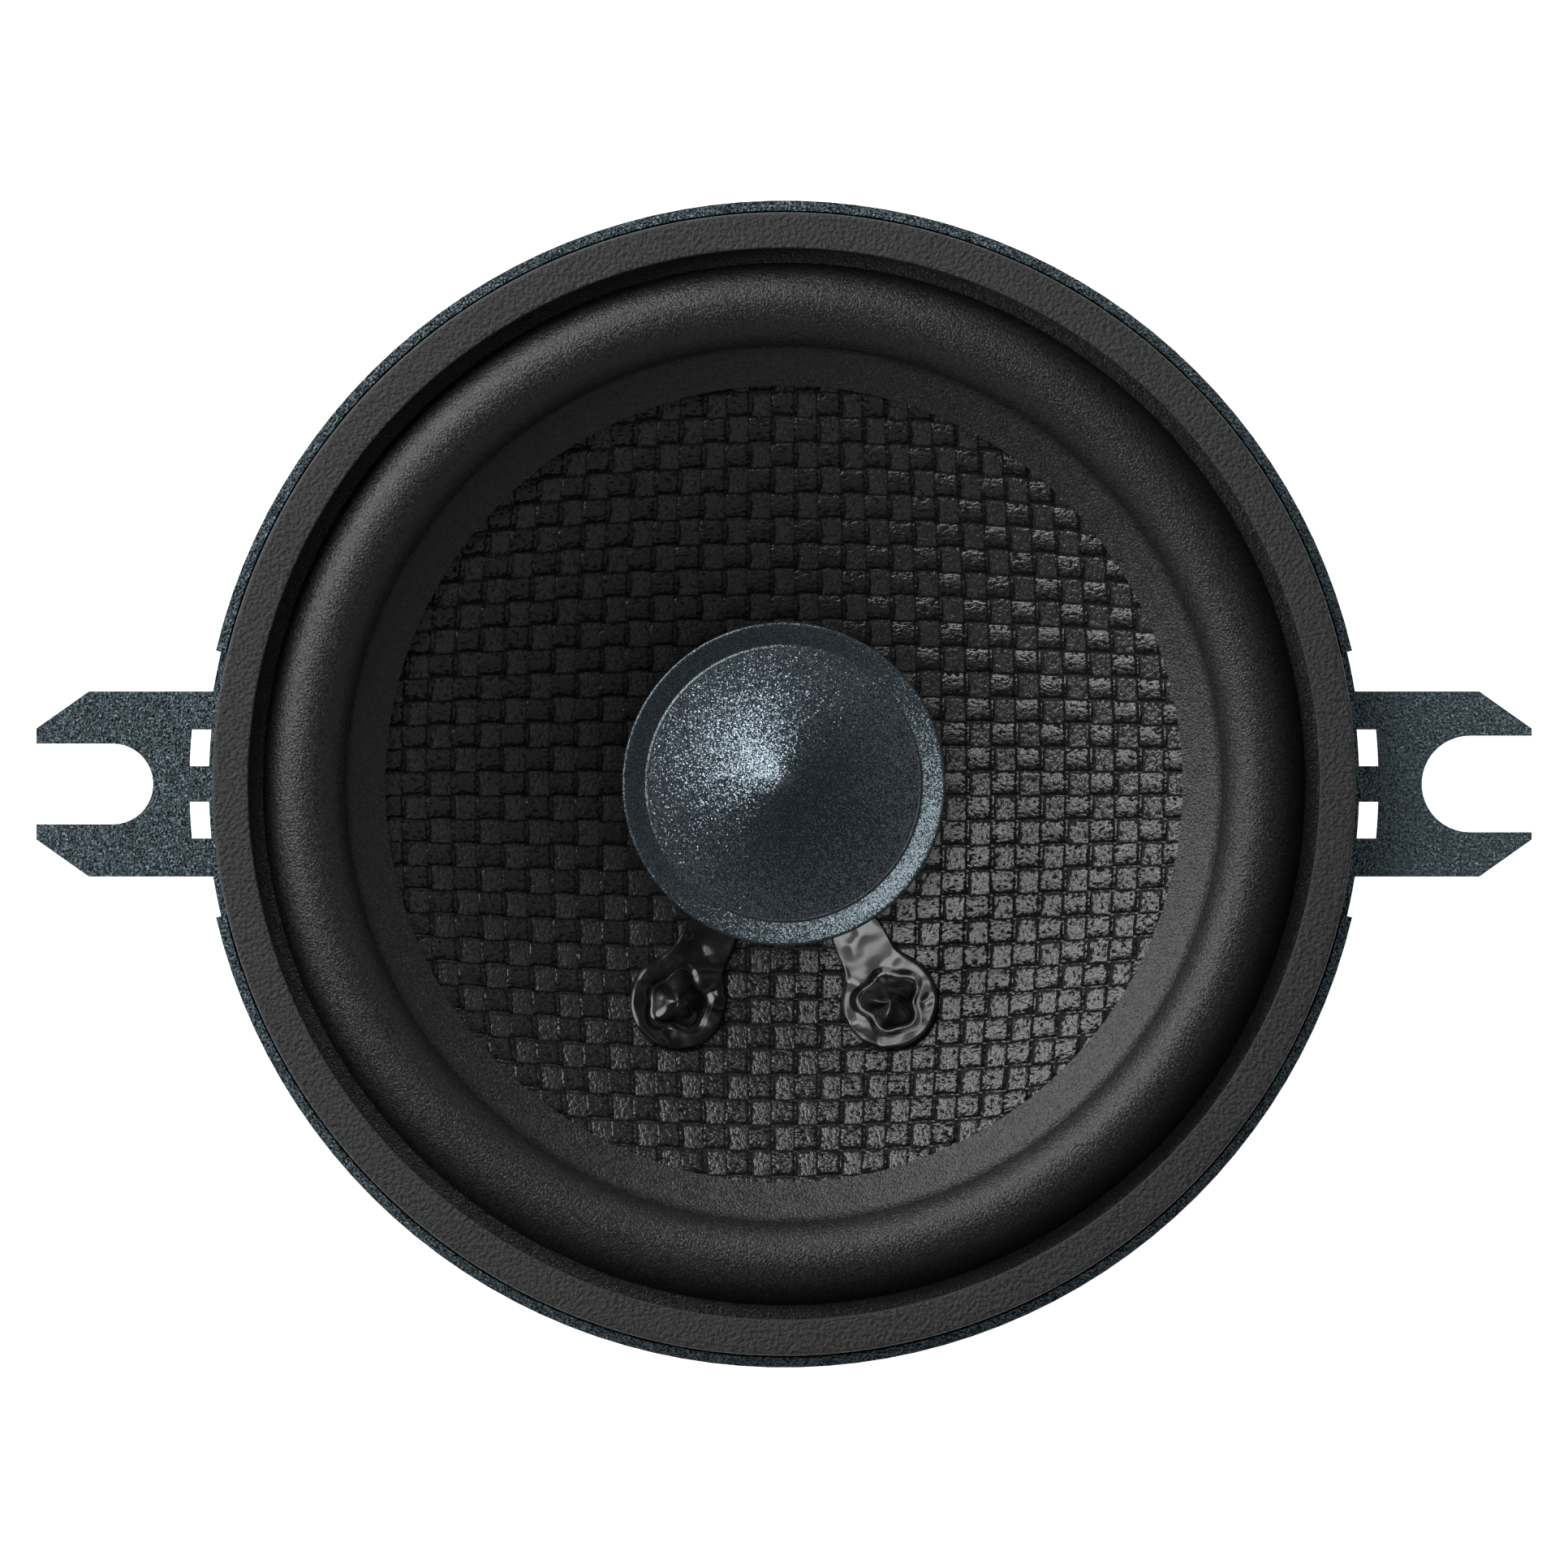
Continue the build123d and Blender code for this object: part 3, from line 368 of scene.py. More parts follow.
def tow_finish(name, stretch, start, shaded_belt_depths, dark, light):
    """Glossy resin over woven fibres, pitted with matt black where the fibres show through. Painted shadow
    lines take the shine away along the left and the lower edge of each cell, with a broader belt of painted
    shade beside them, and painted shade dims the shine near the neck. The fourth argument is how deep that
    belt of painted shade is beside each edge."""
    made = bpy.data.materials.new(name)
    made.use_nodes = True
    tree = made.node_tree
    shader = tree.nodes["Principled BSDF"]
    place = add(tree, "TexCoord").outputs["Object"]
    level = add(tree, "VectorMath", {"operation": "MULTIPLY"})
    tree.links.new(place, level.inputs[0])
    level.inputs[1].default_value = (1, 1, 0)
    away = add(tree, "VectorMath", {"operation": "LENGTH"})
    tree.links.new(level.outputs["Vector"], away.inputs[0])
    # Painted shade: the shine fades towards the neck, where the tweeter would shade the cone.
    unshaded_part = scaled(tree, away.outputs["Value"], NECK_SHADE_START, NECK_SHADE_END, NECK_SHADED_SHINE, 1.0)
    pits_and_painted_shade = grain(tree, PIT_SIZE, stretch, detail=3.0, seed=5.0)
    # Each cell's left and lower edge gets a narrow painted shadow line and a broader belt of painted shade,
    # cut out of the shine like the pits.
    for phase, depth in zip(cell_phases(tree, place, start), shaded_belt_depths):
        line = math(tree, "MULTIPLY", math(tree, "POWER", phase, SHADOW_LINE_SHARPNESS), SHADOW_LINE_DEPTH)
        shaded_belt = math(tree, "MULTIPLY", math(tree, "POWER", phase, SHADED_BELT_SHARPNESS), depth)
        pits_and_painted_shade = math(tree, "SUBTRACT", pits_and_painted_shade, math(tree, "ADD", line, shaded_belt))
    glossy = scaled(tree, pits_and_painted_shade, *PIT_EDGE, 0.0, 1.0)
    shine = math(tree, "MULTIPLY", math(tree, "MULTIPLY", glossy, unshaded_part), RESIN_SHINE)
    tree.links.new(shine, shader.inputs["Specular IOR Level"])
    fine = grain(tree, FIBRE_SIZE, stretch)
    colour = ramp(tree, fine, (0.35, (dark, dark, dark)), (0.65, (light, light, light)))
    tree.links.new(colour, shader.inputs["Base Color"])
    tree.links.new(scaled(tree, glossy, 0.0, 1.0, 0.6, 0.22), shader.inputs["Roughness"])
    height = math(tree, "ADD", math(tree, "MULTIPLY", pits_and_painted_shade, 0.6), math(tree, "MULTIPLY", fine, 0.25))
    bump = add(tree, "Bump", Height=height, Strength=1.0, Distance=TOW_RELIEF)
    tree.links.new(bump.outputs["Normal"], shader.inputs["Normal"])
    return made


# ---------------------------------------------------------------- materials
POWDER_COAT = finish("powder_coat", (0.026, 0.042, 0.050), (0.165, 0.220, 0.245), 0.20 * MM, 0.42 * MM,
                     (0.16, 0.28), edge=0.15 * MM, clouds=0.0, flakes=(0.16 * MM, 1.3), Metallic=0.7)
GASKET_FOAM = finish("gasket_foam", (0.015, 0.015, 0.015), (0.040, 0.040, 0.040), 0.34 * MM, 0.28 * MM,
                     (0.55, 0.78), clouds=0.1, detail=4.0)
RUBBER = finish("surround_rubber", (0.006, 0.006, 0.0065), (0.024, 0.024, 0.025), 0.18 * MM, 0.09 * MM,
                (0.30, 0.50), clouds=0.0, flakes=(0.13 * MM, 0.26))
# The fourth numbers are the depths of the belts of painted shade beside the left edge (warp) and the lower
# edge (weft) of each cell.
WARP = tow_finish("warp_tow", (1.0, 1.5, 1.0), (0.20 * MM, -0.05 * MM), (0.055, 0.0), 0.012, 0.036)
# Painted shade: the weft tows get a darker colour than the warp tows of the same fibre.
WEFT = tow_finish("weft_tow", (1.7, 1.0, 1.0), (-0.12 * MM, 0.13 * MM), (0.0, 0.09), 0.006, 0.020)
RESIN = finish("cone_resin", (0.003, 0.003, 0.003), (0.008, 0.008, 0.008), 0.3 * MM, 0.02 * MM, (0.35, 0.5))
DOME_METAL = finish("dome_metal", (0.065, 0.082, 0.095), (0.20, 0.245, 0.28), 0.10 * MM, 0.010 * MM,
                    (0.14, 0.22), clouds=0.0, flakes=(0.085 * MM, 0.42), Metallic=0.95)
BEZEL_PAINT = finish("bezel_paint", (0.040, 0.052, 0.060), (0.12, 0.15, 0.17), 0.10 * MM, 0.012 * MM,
                     (0.22, 0.34), clouds=0.0, flakes=(0.085 * MM, 0.50), Metallic=0.8)
ADHESIVE = finish("adhesive", (0.004, 0.004, 0.004), (0.009, 0.009, 0.009), 1.7 * MM, 0.60 * MM,
                  (0.14, 0.30), detail=0.0, Coat_Weight=0.2)
ZINC = finish("zinc_plate", (0.24, 0.24, 0.23), (0.36, 0.36, 0.34), 0.35 * MM, 0.006 * MM, (0.28, 0.42),
              stretch=(3, 1, 1), edge=0.2 * MM, Metallic=1.0)
FERRITE = finish("ferrite", (0.012, 0.012, 0.013), (0.030, 0.030, 0.031), 0.2 * MM, 0.02 * MM, (0.45, 0.62),
                 edge=0.3 * MM)
BLACK_PLASTIC = finish("black_plastic", (0.008, 0.008, 0.009), (0.018, 0.018, 0.019), 0.25 * MM,
                       0.008 * MM, (0.38, 0.5), edge=0.2 * MM)
COPPER = finish("copper", (0.48, 0.19, 0.09), (0.72, 0.33, 0.16), 0.12 * MM, 0.02 * MM, (0.22, 0.34),
                stretch=(1, 1, 0.5), Metallic=1.0)
ALUMINIUM = finish("aluminium", (0.45, 0.46, 0.47), (0.68, 0.69, 0.70), 0.3 * MM, 0.004 * MM, (0.28, 0.4),
                   Metallic=1.0)
DUST_CLOTH = finish("dust_cloth", (0.008, 0.008, 0.008), (0.025, 0.025, 0.025), 0.14 * MM, 0.05 * MM,
                    (0.7, 0.9))
SPIDER_CLOTH = finish("spider_cloth", (0.30, 0.20, 0.055), (0.55, 0.40, 0.14), 0.16 * MM, 0.08 * MM,
                      (0.65, 0.85))
CLEAR_FILM = finish("clear_film", (0.03, 0.035, 0.04), (0.05, 0.055, 0.06), 0.2 * MM, 0.004 * MM,
                    (0.2, 0.3))
NICKEL = finish("nickel", (0.50, 0.49, 0.46), (0.68, 0.66, 0.62), 0.25 * MM, 0.003 * MM, (0.2, 0.3),
                Metallic=1.0)
BRASS = finish("brass", (0.55, 0.36, 0.12), (0.78, 0.55, 0.24), 0.2 * MM, 0.004 * MM, (0.22, 0.34),
               Metallic=1.0)
TINNED = finish("tinned_brass", (0.55, 0.54, 0.50), (0.75, 0.73, 0.69), 0.3 * MM, 0.006 * MM, (0.22, 0.36),
                edge=0.1 * MM, Metallic=1.0)
BRAID = finish("tinsel_braid", (0.28, 0.13, 0.07), (0.62, 0.36, 0.22), 0.08 * MM, 0.02 * MM, (0.3, 0.45),
               Metallic=0.9)
CAPACITOR_SLEEVE = finish("capacitor_sleeve", (0.012, 0.018, 0.05), (0.022, 0.034, 0.085), 0.5 * MM,
                          0.01 * MM, (0.24, 0.36))
RED_PVC = finish("red_insulation", (0.32, 0.012, 0.010), (0.46, 0.022, 0.016), 0.3 * MM, 0.006 * MM,
                 (0.32, 0.44))
BLACK_PVC = finish("black_insulation", (0.010, 0.010, 0.011), (0.022, 0.022, 0.023), 0.3 * MM, 0.006 * MM,
                   (0.32, 0.44))
SPLICE = finish("splice_sleeve", (0.014, 0.014, 0.014), (0.028, 0.028, 0.028), 0.3 * MM, 0.01 * MM,
                (0.42, 0.55))

CAD_FINISHES = {
    "basket": POWDER_COAT,
    "basket_rivets": ZINC,
    "top_plate": ZINC,
    "magnet": FERRITE,
    "pole_yoke": ZINC,
    "voice_coil_former": ALUMINIUM,
    "voice_coil_winding": COPPER,
    "dust_ring": DUST_CLOTH,
    "tweeter_post": BLACK_PLASTIC,
    "tweeter_housing": BLACK_PLASTIC,
    "tweeter_voice_coil": COPPER,
    "tweeter_cup": ZINC,
    "tweeter_magnet": NICKEL,
    "tweeter_pole_plate": ZINC,
    "terminal_holder": BLACK_PLASTIC,
    "terminal_positive": TINNED,
    "terminal_negative": TINNED,
    "crossover_capacitor": CAPACITOR_SLEEVE,
    "capacitor_leads": TINNED,
    "lead_splice": SPLICE,
    "lead_eyelets": BRASS,
    "tweeter_lead_positive": RED_PVC,
    "tweeter_lead_negative": BLACK_PVC,
}


def paint_cad_nodes():
    for node, material in CAD_FINISHES.items():
        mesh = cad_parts[node].data
        mesh.materials.clear()
        mesh.materials.append(material)


# ---------------------------------------------------------------- woven cone
def cone_front(radius):
    """Height of the front face of the cone in the CAD model."""
    return CONE_EDGE_Z - (CONE_R - radius) * tan(CONE_SLOPE)


def draped(warp_way, weft_way):
    """Plan position of a point of the flat cloth once it is pressed over the cone."""
    x = warp_way * (1 - DRAPE * (weft_way / CONE_R) ** 2)
    y = weft_way * (1 - DRAPE * (warp_way / CONE_R) ** 2)
    return x, y


def tow_section(width, rise):
    """Across a tow: sideways place and height of its skin, over the crown and back underneath."""
    over = np.array([-0.5, -0.42, -0.22, 0.0, 0.22, 0.42, 0.5])
    under = np.array([0.3, -0.3])
    crown = rise * (1 - (2 * over) ** 2)
    height = np.concatenate([crown, np.full_like(under, -TOW_BELLY)])
    return np.concatenate([over, under]) * width, height


def swing(way, pitch, crossing_width, parity):
    """Rise of a tow over and under the tows that cross it."""
    lag = (pitch - crossing_width) / 2 + TOW_TUCK
    wave = np.cos(pi * way / pitch + pi * parity) + sin(pi * lag / pitch)
    return TOW_SWING * np.tanh(SWING_SHARPNESS * wave)


def tow_run(middle, along_y, parity, start, end):
    """Points of one run of a tow, from start to end along it, its ends cut to the cone's edges."""
    across, height = tow_section(WARP_WIDTH, WARP_CROWN) if along_y else tow_section(WEFT_WIDTH, WEFT_CROWN)
    lane = middle + across
    far = np.sqrt(np.maximum(CLOTH_R**2 - lane**2, 1e-10)) * (1 + DRAPE * (lane / CONE_R) ** 2)
    near = np.sqrt(np.maximum(NECK_R**2 - lane**2, 0.0))
    first = near if start == 0 else start * far
    last = -near if end == 0 else end * far
    pitch = WEFT_PITCH if along_y else WARP_PITCH
    crossing_width = WEFT_WIDTH if along_y else WARP_WIDTH
    crossings = np.arange(-int(CONE_R / pitch) - 2, int(CONE_R / pitch) + 3)
    way = (pitch * (crossings[:, None] + CROSSING_STEPS[None, :])).ravel()
    way = way[(way > first.min()) & (way < last.max())]
    way = np.concatenate([[first.min()], way, [last.max()]])
    ways = np.clip(way[:, None], first[None, :], last[None, :])
    lanes = np.tile(lane, (len(way), 1))
    x, y = draped(lanes, ways) if along_y else draped(ways, lanes)
    radius = np.hypot(x, y)
    under_lip = np.clip((radius - LIP_R + LIP_PRESS_START) / LIP_PRESS_RUN, 0, 1)
    settled = WEAVE_SINK + under_lip * LIP_PRESS
    z = cone_front(radius) + height[None, :] + swing(ways, pitch, crossing_width, parity) - settled
    return np.stack([x, y, z], -1).reshape(-1, 3), len(way)


def tows(name, along_y, material):
    """All the tows that run one way, each over and under the tows that cross it."""
    pitch = WARP_PITCH if along_y else WEFT_PITCH
    width = WARP_WIDTH if along_y else WEFT_WIDTH
    points, faces = [], []
    reach = int(CONE_R / pitch)
    for number in range(-reach, reach + 1):
        middle = number * pitch
        if abs(middle) + width / 2 > CLOTH_R:
            continue
        crosses_neck = abs(middle) - width / 2 < NECK_R
        parity = number + (0 if along_y else 1)
        for start, end in ((-1, 0), (0, 1)) if crosses_neck else ((-1, 1),):
            run, count = tow_run(middle, along_y, parity, start, end)
            first = sum(len(p) for p in points)
            faces += [[first + i for i in face] for face in tube_faces(count, len(run) // count)]
            points.append(run)
    return piece_from(name, np.concatenate(points), faces, material, 50.0)


def make_cone():
    warp = tows("cone_warp_tows", True, WARP)
    weft = tows("cone_weft_tows", False, WEFT)
    rise = RESIN_FILM / cos(CONE_SLOPE)
    neck_bottom = NECK_Z - NECK_LENGTH
    outline = rounded([
        (CLOTH_R, cone_front(CONE_R) - WEAVE_SINK, 0),
        (NECK_R + RESIN_FILM, cone_front(NECK_R + RESIN_FILM) - WEAVE_SINK, NECK_FILLET),
        (NECK_R + RESIN_FILM, neck_bottom, 0),
        (NECK_R + NECK_WALL, neck_bottom, 0),
        (NECK_R + NECK_WALL, cone_front(NECK_R) - WEAVE_SINK - rise, NECK_FILLET),
        (CLOTH_R, cone_front(CONE_R) - WEAVE_SINK - rise, 0),
    ])
    film = lathe("cone_resin_film", spaced(outline, step=2 * MM), segments=180, material=RESIN)
    for piece in (warp, weft, film):
        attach(piece, "cone_assembly")
        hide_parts("cone")


# ---------------------------------------------------------------- surround, gasket and spider
def roll_height(radius):
    """Height of the front of the roll between its feet."""
    half = ROLL_WIDTH / 2
    rise = ROLL_TOP - FEET_Z
    arc_r = (half**2 + rise**2) / (2 * rise)
    offset = radius - (ROLL_R_IN + ROLL_R_OUT) / 2
    return FEET_Z + sqrt(max(arc_r**2 - offset**2, 0)) - (arc_r - rise)


def surround_front():
    """Front of the surround from its rim to the edge of its lip, as radius and height."""
    fillet = ROLL_FOOT_FILLET
    front = [(SURROUND_R, FEET_Z), (ROLL_R_OUT + 3 * fillet, FEET_Z), (ROLL_R_OUT + fillet, FEET_Z)]
    steps = 36
    for k in range(1, steps):
        radius = ROLL_R_OUT - ROLL_WIDTH * (1 - cos(pi * k / steps)) / 2
        front.append((radius, roll_height(radius)))
    lip_top = cone_front(LIP_R) + SURROUND_THICKNESS / cos(CONE_SLOPE) + GLUE_GAP
    steps = 12
    for k in range(1, steps + 1):
        share = k / steps
        radius = ROLL_R_IN - fillet + (LIP_R + fillet - ROLL_R_IN) * share
        front.append((radius, FEET_Z + (lip_top - FEET_Z) * (ROLL_R_IN - radius) / (ROLL_R_IN - LIP_R)))
    return front


def thickness_below(front, thickness):
    """The rear of a sheet whose front is given, from its last point back to its first."""
    rear = []
    for n in range(len(front) - 1, -1, -1):
        a = Vector(front[max(n - 1, 0)])
        b = Vector(front[min(n + 1, len(front) - 1)])
        along = (b - a).normalized()
        normal = Vector((along.y, -along.x))
        if normal.y > 0:
            normal = -normal
        rear.append(tuple(Vector(front[n]) + normal * thickness))
    return rear


def weave_ripple(radius, angle):
    """The cloth under the lip shows through it as faint ripples."""
    x, y = radius * np.cos(angle), radius * np.sin(angle)
    on_lip = np.clip((ROLL_R_IN - RIPPLE_START - radius) / RIPPLE_RUN, 0, 1)
    cells = np.cos(pi * x / WARP_PITCH) * np.cos(pi * y / WEFT_PITCH)
    return RIPPLE_HEIGHT * on_lip * cells


def make_surround():
    front = surround_front()
    lip_edge = (LIP_R, front[-1][1] - LIP_EDGE_DROP)
    outline = front + [lip_edge] + thickness_below(front, SURROUND_THICKNESS)
    piece = lathe("surround_roll", outline, 720, RUBBER, lift=weave_ripple, crease=60.0)
    blend_radially(piece)
    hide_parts("surround")


def make_gasket():
    outline = rounded([
        (GASKET_R_IN, FEET_Z, 0),
        (GASKET_R_OUT, FEET_Z, 0),
        (GASKET_R_OUT, GASKET_TOP, 0.3 * MM),
        (GASKET_R_IN, GASKET_TOP, 0.16 * MM),
    ])
    outline = spaced(outline, step=0.5 * MM)
    piece = lathe("gasket_ring", outline, 540, GASKET_FOAM, lift=gasket_waver, crease=50.0)
    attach(piece, "frame")
    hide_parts("front_gasket")


def gasket_waver(radius, angle):
    """Die-cut foam isn't quite flat."""
    return GASKET_WAVER * np.sin(7 * angle + 1.0) * np.cos(3 * angle)


def make_spider():
    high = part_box("spider")[1]
    wave_r_out = high.x - SPIDER_COLLAR
    wave_r_in = NECK_R + SPIDER_COLLAR / 2
    rest_z = high.z - SPIDER_WAVE_HEIGHT
    steps = 54
    front = [(high.x, rest_z)]
    for k in range(steps + 1):
        radius = wave_r_out + (wave_r_in - wave_r_out) * k / steps
        front.append((radius, rest_z + SPIDER_WAVE_HEIGHT * sin(2 * pi * SPIDER_WAVES * k / steps)))
    front.append((NECK_R + GLUE_GAP + SPIDER_THICKNESS, rest_z))
    outline = front + thickness_below(front, SPIDER_THICKNESS)
    piece = lathe("spider_disc", outline, 240, SPIDER_CLOTH, crease=60.0)
    blend_radially(piece)
    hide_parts("spider")


# ---------------------------------------------------------------- tweeter
DOME_THICKNESS = 0.1 * MM
DOME_TIP = 0.9 * MM              # larger for a rounder tip
DOME_EDGE_RISE = 0.3 * MM        # edge of the dome above the bottom of the CAD dome
DOME_STRAIGHT = 0.34             # share of the rise that is a straight cone, while the rest curves
DOME_HEM = 0.1 * MM
DOME_HEM_DROP = 0.01 * MM
TRIM_R_IN = 11.0 * MM
TRIM_WALL = 0.8 * MM
TRIM_DEPTH = 0.7 * MM            # from the outer edge of the trim down to its inner edge
TRIM_LINE = 0.07 * MM            # width of the raised line along the inner edge
TRIM_LINE_RISE = 0.12 * MM
FILM_R_IN = 10.1 * MM


def make_dome():
    """Bell-shaped dome: rounded at its tip, steepest close to it, and flatter towards its edge."""
    low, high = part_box("tweeter_diaphragm")
    edge_r = high.x
    edge_z = low.z + DOME_EDGE_RISE
    rise = high.z - edge_z
    steps = 40
    front = []
    for k in range(steps + 1):
        radius = edge_r * k / steps
        cone = sqrt(radius**2 + DOME_TIP**2) - DOME_TIP
        height = 1 - cone / (sqrt(edge_r**2 + DOME_TIP**2) - DOME_TIP)
        height = height * DOME_STRAIGHT + height**2 * (1 - DOME_STRAIGHT)
        front.append((radius, edge_z + rise * height))
    rear = [(radius, z - DOME_THICKNESS) for radius, z in reversed(front)]
    rim = [(edge_r + DOME_HEM, edge_z - DOME_HEM_DROP), (edge_r + DOME_HEM, edge_z - DOME_THICKNESS)]
    piece = lathe("tweeter_dome_shell", front + rim + rear, 256, DOME_METAL, crease=60.0)
    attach(piece, "tweeter_dome")
    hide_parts("tweeter_diaphragm")


def make_film():
    """Clear film ring that the dome hangs on, clamped under the trim."""
    low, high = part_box("tweeter_surround")
    corners = [(high.x, low.z), (high.x, high.z), (FILM_R_IN, high.z), (FILM_R_IN, low.z)]
    outline = spaced(corners, step=0.05 * MM)
    piece = lathe("tweeter_film", outline, 180, CLEAR_FILM, crease=60.0)
    blend_radially(piece)
    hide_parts("tweeter_surround")


def make_bezel():
    """Trim ring that slopes in to a raised line around the dome."""
    low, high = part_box("tweeter_bezel")
    seat_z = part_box("tweeter_surround")[1].z
    inner_z = high.z - TRIM_DEPTH
    line_z = inner_z + TRIM_LINE_RISE
    outline = rounded([
        (TRIM_R_IN, seat_z, 0),
        (high.x - TRIM_WALL, seat_z, 0),
        (high.x - TRIM_WALL, low.z, 0),
        (high.x, low.z, 0.15 * MM),
        (high.x, high.z, 0.25 * MM),
        (TRIM_R_IN + 3.5 * TRIM_LINE, inner_z, 0.06 * MM),
        (TRIM_R_IN + TRIM_LINE, line_z, 0.04 * MM),
        (TRIM_R_IN, line_z, 0.03 * MM),
    ])
    piece = lathe("tweeter_trim", spaced(outline, step=0.5 * MM), 360, BEZEL_PAINT, crease=45.0)
    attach(piece, "frame")
    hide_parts("tweeter_bezel")


# ---------------------------------------------------------------- adhesive over the lead-outs
PATCH_CIRCLE_R = 19.6 * MM
PATCH_ANGLE = 26.0               # degrees on either side of -Y
PATCH_R = 3.95 * MM
PATCH_ARM_WIDTH = 4.4 * MM
PATCH_ARM_R = 12.4 * MM
PATCH_THICKNESS = 0.50 * MM
PATCH_EDGE = 0.45 * MM           # width of its rounded edge
PATCH_SINK = 0.04 * MM
PATCH_DEPTH = 0.3 * MM           # its rear below the front of the CAD cone
KNOB_R = 2.1 * MM
KNOB_HEIGHT = 1.6 * MM
KNOB_RIDGES = 0.45               # how deep the valleys between its ridges are
MOAT_DEPTH = 0.24 * MM
MOAT_R = 1.1                     # in radii of the knob
MOAT_WIDTH = 0.22
LUMP_HEIGHT = 0.02 * MM
ARM_LUMP_HEIGHT = 0.03 * MM      # more of it on the arm
LUMP_EDGE = 0.8 * MM


def patch_reach(turn):
    """Distance from the middle of a pad to its edge. turn is the angle from the way to its arm."""
    half = PATCH_ARM_WIDTH / 2
    length = PATCH_CIRCLE_R - PATCH_ARM_R
    if cos(turn) <= 0:
        return PATCH_R
    side = half / max(abs(sin(turn)), 1e-6)
    arm = (side**-10 + (length / cos(turn)) ** -10) ** -0.1
    return (PATCH_R**7 + arm**7) ** (1 / 7)


def patch_height(radius, turn, edge, seed):
    """Thickness of the blob: a flat ring, a moat, and a faceted knob where the lead comes through."""
    from_edge = edge - radius
    body = PATCH_THICKNESS * (1 - (1 - min(from_edge / PATCH_EDGE, 1)) ** 2) ** 0.5
    lobes = 1 + 0.10 * sin(3 * turn + 2.1 * seed) + 0.09 * sin(5 * turn + seed)
    inside = radius / (KNOB_R * lobes)
    ridges = 0.5 + 0.5 * cos(4 * turn + 1.7 * seed + 3.0 * inside)
    knob = KNOB_HEIGHT * max(0.0, 1 - inside**1.6) * (1 - KNOB_RIDGES * ridges * min(inside, 1.0))
    moat = MOAT_DEPTH * max(0.0, 1 - abs(inside - MOAT_R) / MOAT_WIDTH)
    x, y = radius * cos(turn), radius * sin(turn)
    on_arm = min(max((x - 0.4 * PATCH_R) / (0.5 * PATCH_R), 0.0), 1.0)
    across = sin(y / (0.6 * MM) + x / (1.3 * MM) + seed)
    wander = sin(x / (0.7 * MM) + 1.4 * sin(y / (0.8 * MM)) + 2 * seed) * across
    lumps = (LUMP_HEIGHT + ARM_LUMP_HEIGHT * on_arm) * wander
    return body + knob - moat + lumps * min(from_edge / LUMP_EDGE, 1)


def make_patch(name, side):
    angle = radians(270 + side * PATCH_ANGLE)
    centre = Vector((PATCH_CIRCLE_R * cos(angle), PATCH_CIRCLE_R * sin(angle)))
    inward = angle + pi
    rings, spokes = 44, 180
    points = []
    for ring in range(rings + 1):
        share = sin(pi / 2 * ring / rings)
        for spoke in range(spokes):
            turn = 2 * pi * spoke / spokes
            edge = patch_reach(atan2(sin(turn), cos(turn)))
            radius = edge * share
            x = centre.x + radius * cos(inward + turn)
            y = centre.y + radius * sin(inward + turn)
            z = cone_front(hypot(x, y)) - PATCH_SINK
            points.append((x, y, z + patch_height(radius, turn, edge, 1.3 + side)))
    points += [(x, y, cone_front(hypot(x, y)) - PATCH_DEPTH) for x, y, _ in points[-spokes:]]
    faces = tube_faces(rings + 2, spokes)
    piece = piece_from(name, points, faces, ADHESIVE, 60.0)
    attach(piece, "cone_assembly")
    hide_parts("lead_adhesive")


# ---------------------------------------------------------------- flexible leads under the cone
LEAD_DIAMETER = 0.9 * MM
LEAD_END_X = 7.2 * MM
LEAD_SEGMENTS = 24
STRANDS = 4                      # wound each way
STRAND_TURN = 1.1 * MM
STRAND_BULGE = 0.07


def braid_skin(travelled, turn):
    """Strands wound both ways round the lead."""
    wind = 2 * pi * travelled / STRAND_TURN
    crest = max(cos(STRANDS * turn + wind), cos(STRANDS * turn - wind))
    return 1 - STRAND_BULGE + STRAND_BULGE * crest


def rounded_route(corners, steps=10):
    """Straight runs joined by bends, each as large as its runs allow."""
    line = [corners[0]]
    for before, corner, after in zip(corners, corners[1:], corners[2:]):
        reach = 0.48 * min((corner - before).length, (after - corner).length)
        first = corner + (before - corner).normalized() * reach
        last = corner + (after - corner).normalized() * reach
        for k in range(steps + 1):
            share = k / steps
            line.append(first * (1 - share) ** 2 + corner * 2 * share * (1 - share) + last * share**2)
    line.append(corners[-1])
    return line


def make_tinsel_lead(node, side):
    """From the eyelet in the cone to the top of a spade, with slack for the travel."""
    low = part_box(node)[0]
    angle = radians(270 + side * PATCH_ANGLE)
    start_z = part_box("lead_eyelets")[0].z
    start = Vector((PATCH_CIRCLE_R * cos(angle), PATCH_CIRCLE_R * sin(angle), start_z))
    end = Vector((side * LEAD_END_X, low.y + LEAD_DIAMETER / 2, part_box("terminal_negative")[1].z))
    corners = [
        start,
        start + Vector((0, -1.2, -2.6)) * MM,
        start + Vector((side * 0.9, -6.6, -3.2)) * MM,
        end + Vector((side * 1.6, 4.6, 1.4)) * MM,
        end + Vector((side * 0.2, 1.1, 2.4)) * MM,
        end,
    ]
    name = node.replace("tinsel_lead", "tinsel_braid")
    piece = wire_piece(name, rounded_route(corners), LEAD_DIAMETER, BRAID, LEAD_SEGMENTS, braid_skin)
    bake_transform(piece)
    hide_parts(node)


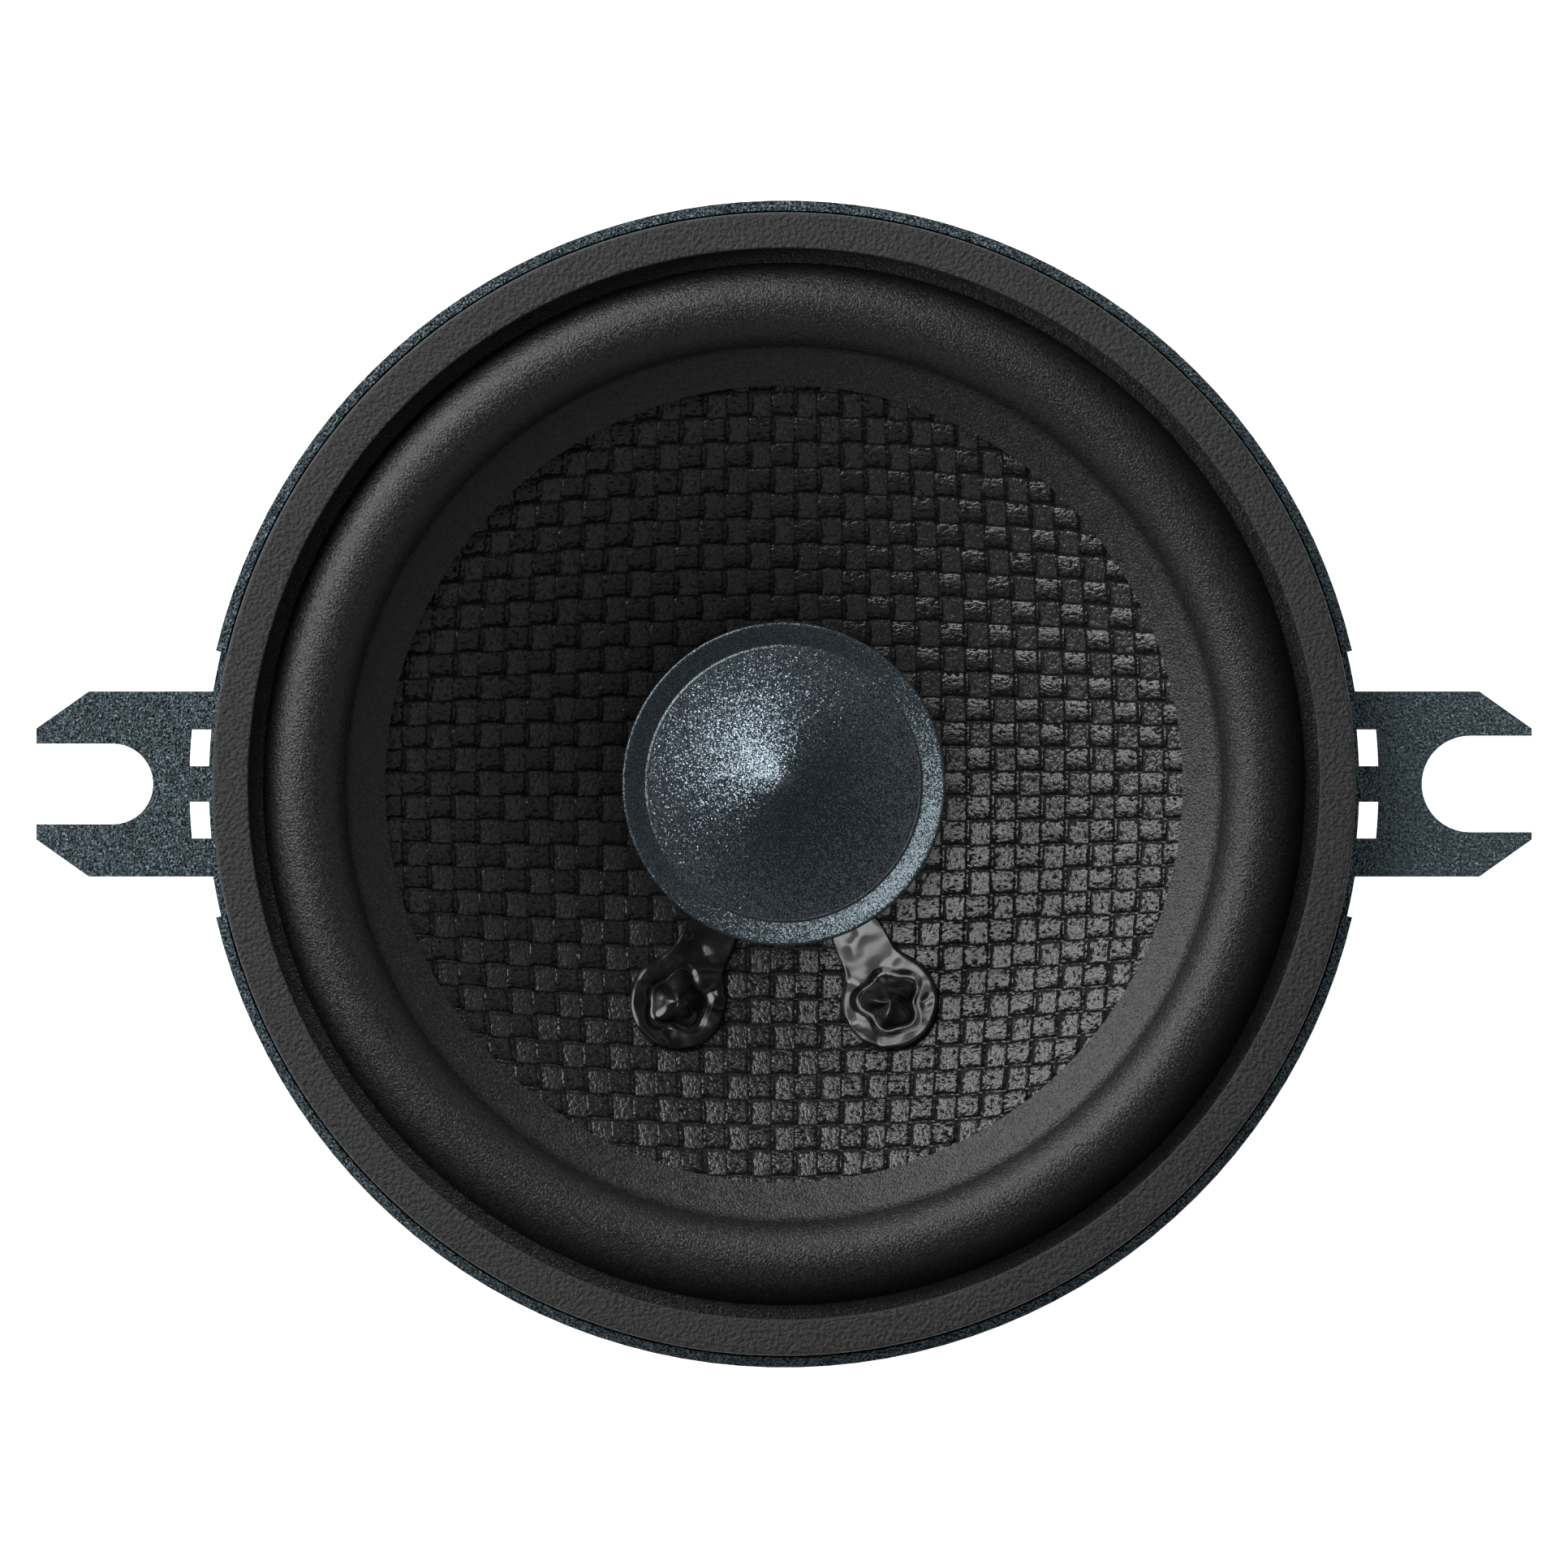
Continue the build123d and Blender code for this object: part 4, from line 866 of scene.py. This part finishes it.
# ---------------------------------------------------------------- studio
def make_camera():
    """Straight above the flange, with a long lens."""
    distance, view_width = 3.0, 126.9 * MM
    camera = bpy.data.objects.new("camera", bpy.data.cameras.new("camera"))
    bpy.context.scene.collection.objects.link(camera)
    camera.data.sensor_width = 36.0
    camera.data.lens = camera.data.sensor_width * distance / view_width
    camera.location = (0.0, 0.0, distance)
    camera.data.clip_end = 10.0
    bpy.context.scene.camera = camera


def make_light(name, azimuth, tilt, distance, size, power):
    """A square softbox at tilt degrees from straight above, aimed at the middle of the cone."""
    lamp = bpy.data.lights.new(name, "AREA")
    lamp.shape = "RECTANGLE"
    lamp.size, lamp.size_y = size
    lamp.energy = power
    holder = bpy.data.objects.new(name, lamp)
    bpy.context.scene.collection.objects.link(holder)
    a, t = radians(azimuth), radians(tilt)
    away = Vector((sin(t) * cos(a), sin(t) * sin(a), cos(t)))
    holder.location = away * distance
    holder.rotation_mode = "QUATERNION"
    holder.rotation_quaternion = away.to_track_quat("Z", "Y")


def make_world():
    """Pale near the horizon and dim overhead, like a studio with a white cove."""
    world = bpy.data.worlds.new("studio")
    bpy.context.scene.world = world
    world.use_nodes = True
    tree = world.node_tree
    place = add(tree, "TexCoord").outputs["Generated"]
    height = add(tree, "SeparateXYZ", Vector=place).outputs["Z"]
    colour = ramp(tree, height, (0.0, (0.80, 0.81, 0.82)), (0.12, (0.62, 0.63, 0.64)),
                  (0.45, (0.07, 0.07, 0.075)))
    tree.links.new(colour, tree.nodes["Background"].inputs["Color"])


def make_floor():
    half = 3.0
    corners = [(x, y, FLOOR_Z) for x, y in ((-half, -half), (half, -half), (half, half), (-half, half))]
    paper = finish("paper", (0.86, 0.86, 0.86), (0.90, 0.90, 0.90), 3 * MM, 0.01 * MM, (0.85, 0.95),
                   Emission_Color=(1, 1, 1, 1), Emission_Strength=1.0)
    floor = piece_from("floor", corners, [(0, 1, 2, 3)], paper)


def clear_of_the_key():
    """The tweeter casts no shadow on the cone and isn't mirrored in it, which lights the cone more
    evenly than the real one would be."""
    pieces = [bpy.data.objects[name] for name in ("tweeter_trim", "tweeter_dome_shell")]
    pieces += [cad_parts[n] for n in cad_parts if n.startswith("tweeter_")]
    for piece in pieces:
        piece.visible_shadow = False
        piece.visible_glossy = False


paint_cad_nodes()
make_cone()
make_surround()
make_gasket()
make_spider()
make_dome()
make_film()
make_bezel()
make_patch("lead_adhesive_left", -1)
make_patch("lead_adhesive_right", 1)
clear_of_the_key()
make_tinsel_lead("tinsel_lead_positive", -1)
make_tinsel_lead("tinsel_lead_negative", 1)
make_camera()
make_light("key", azimuth=140, tilt=53, distance=0.42, size=(0.54, 0.26), power=2.5)
make_light("overhead", azimuth=90, tilt=4, distance=1.6, size=(0.9, 0.9), power=0.8)
make_world()
make_floor()
bpy.context.scene.view_settings.view_transform = "Standard"
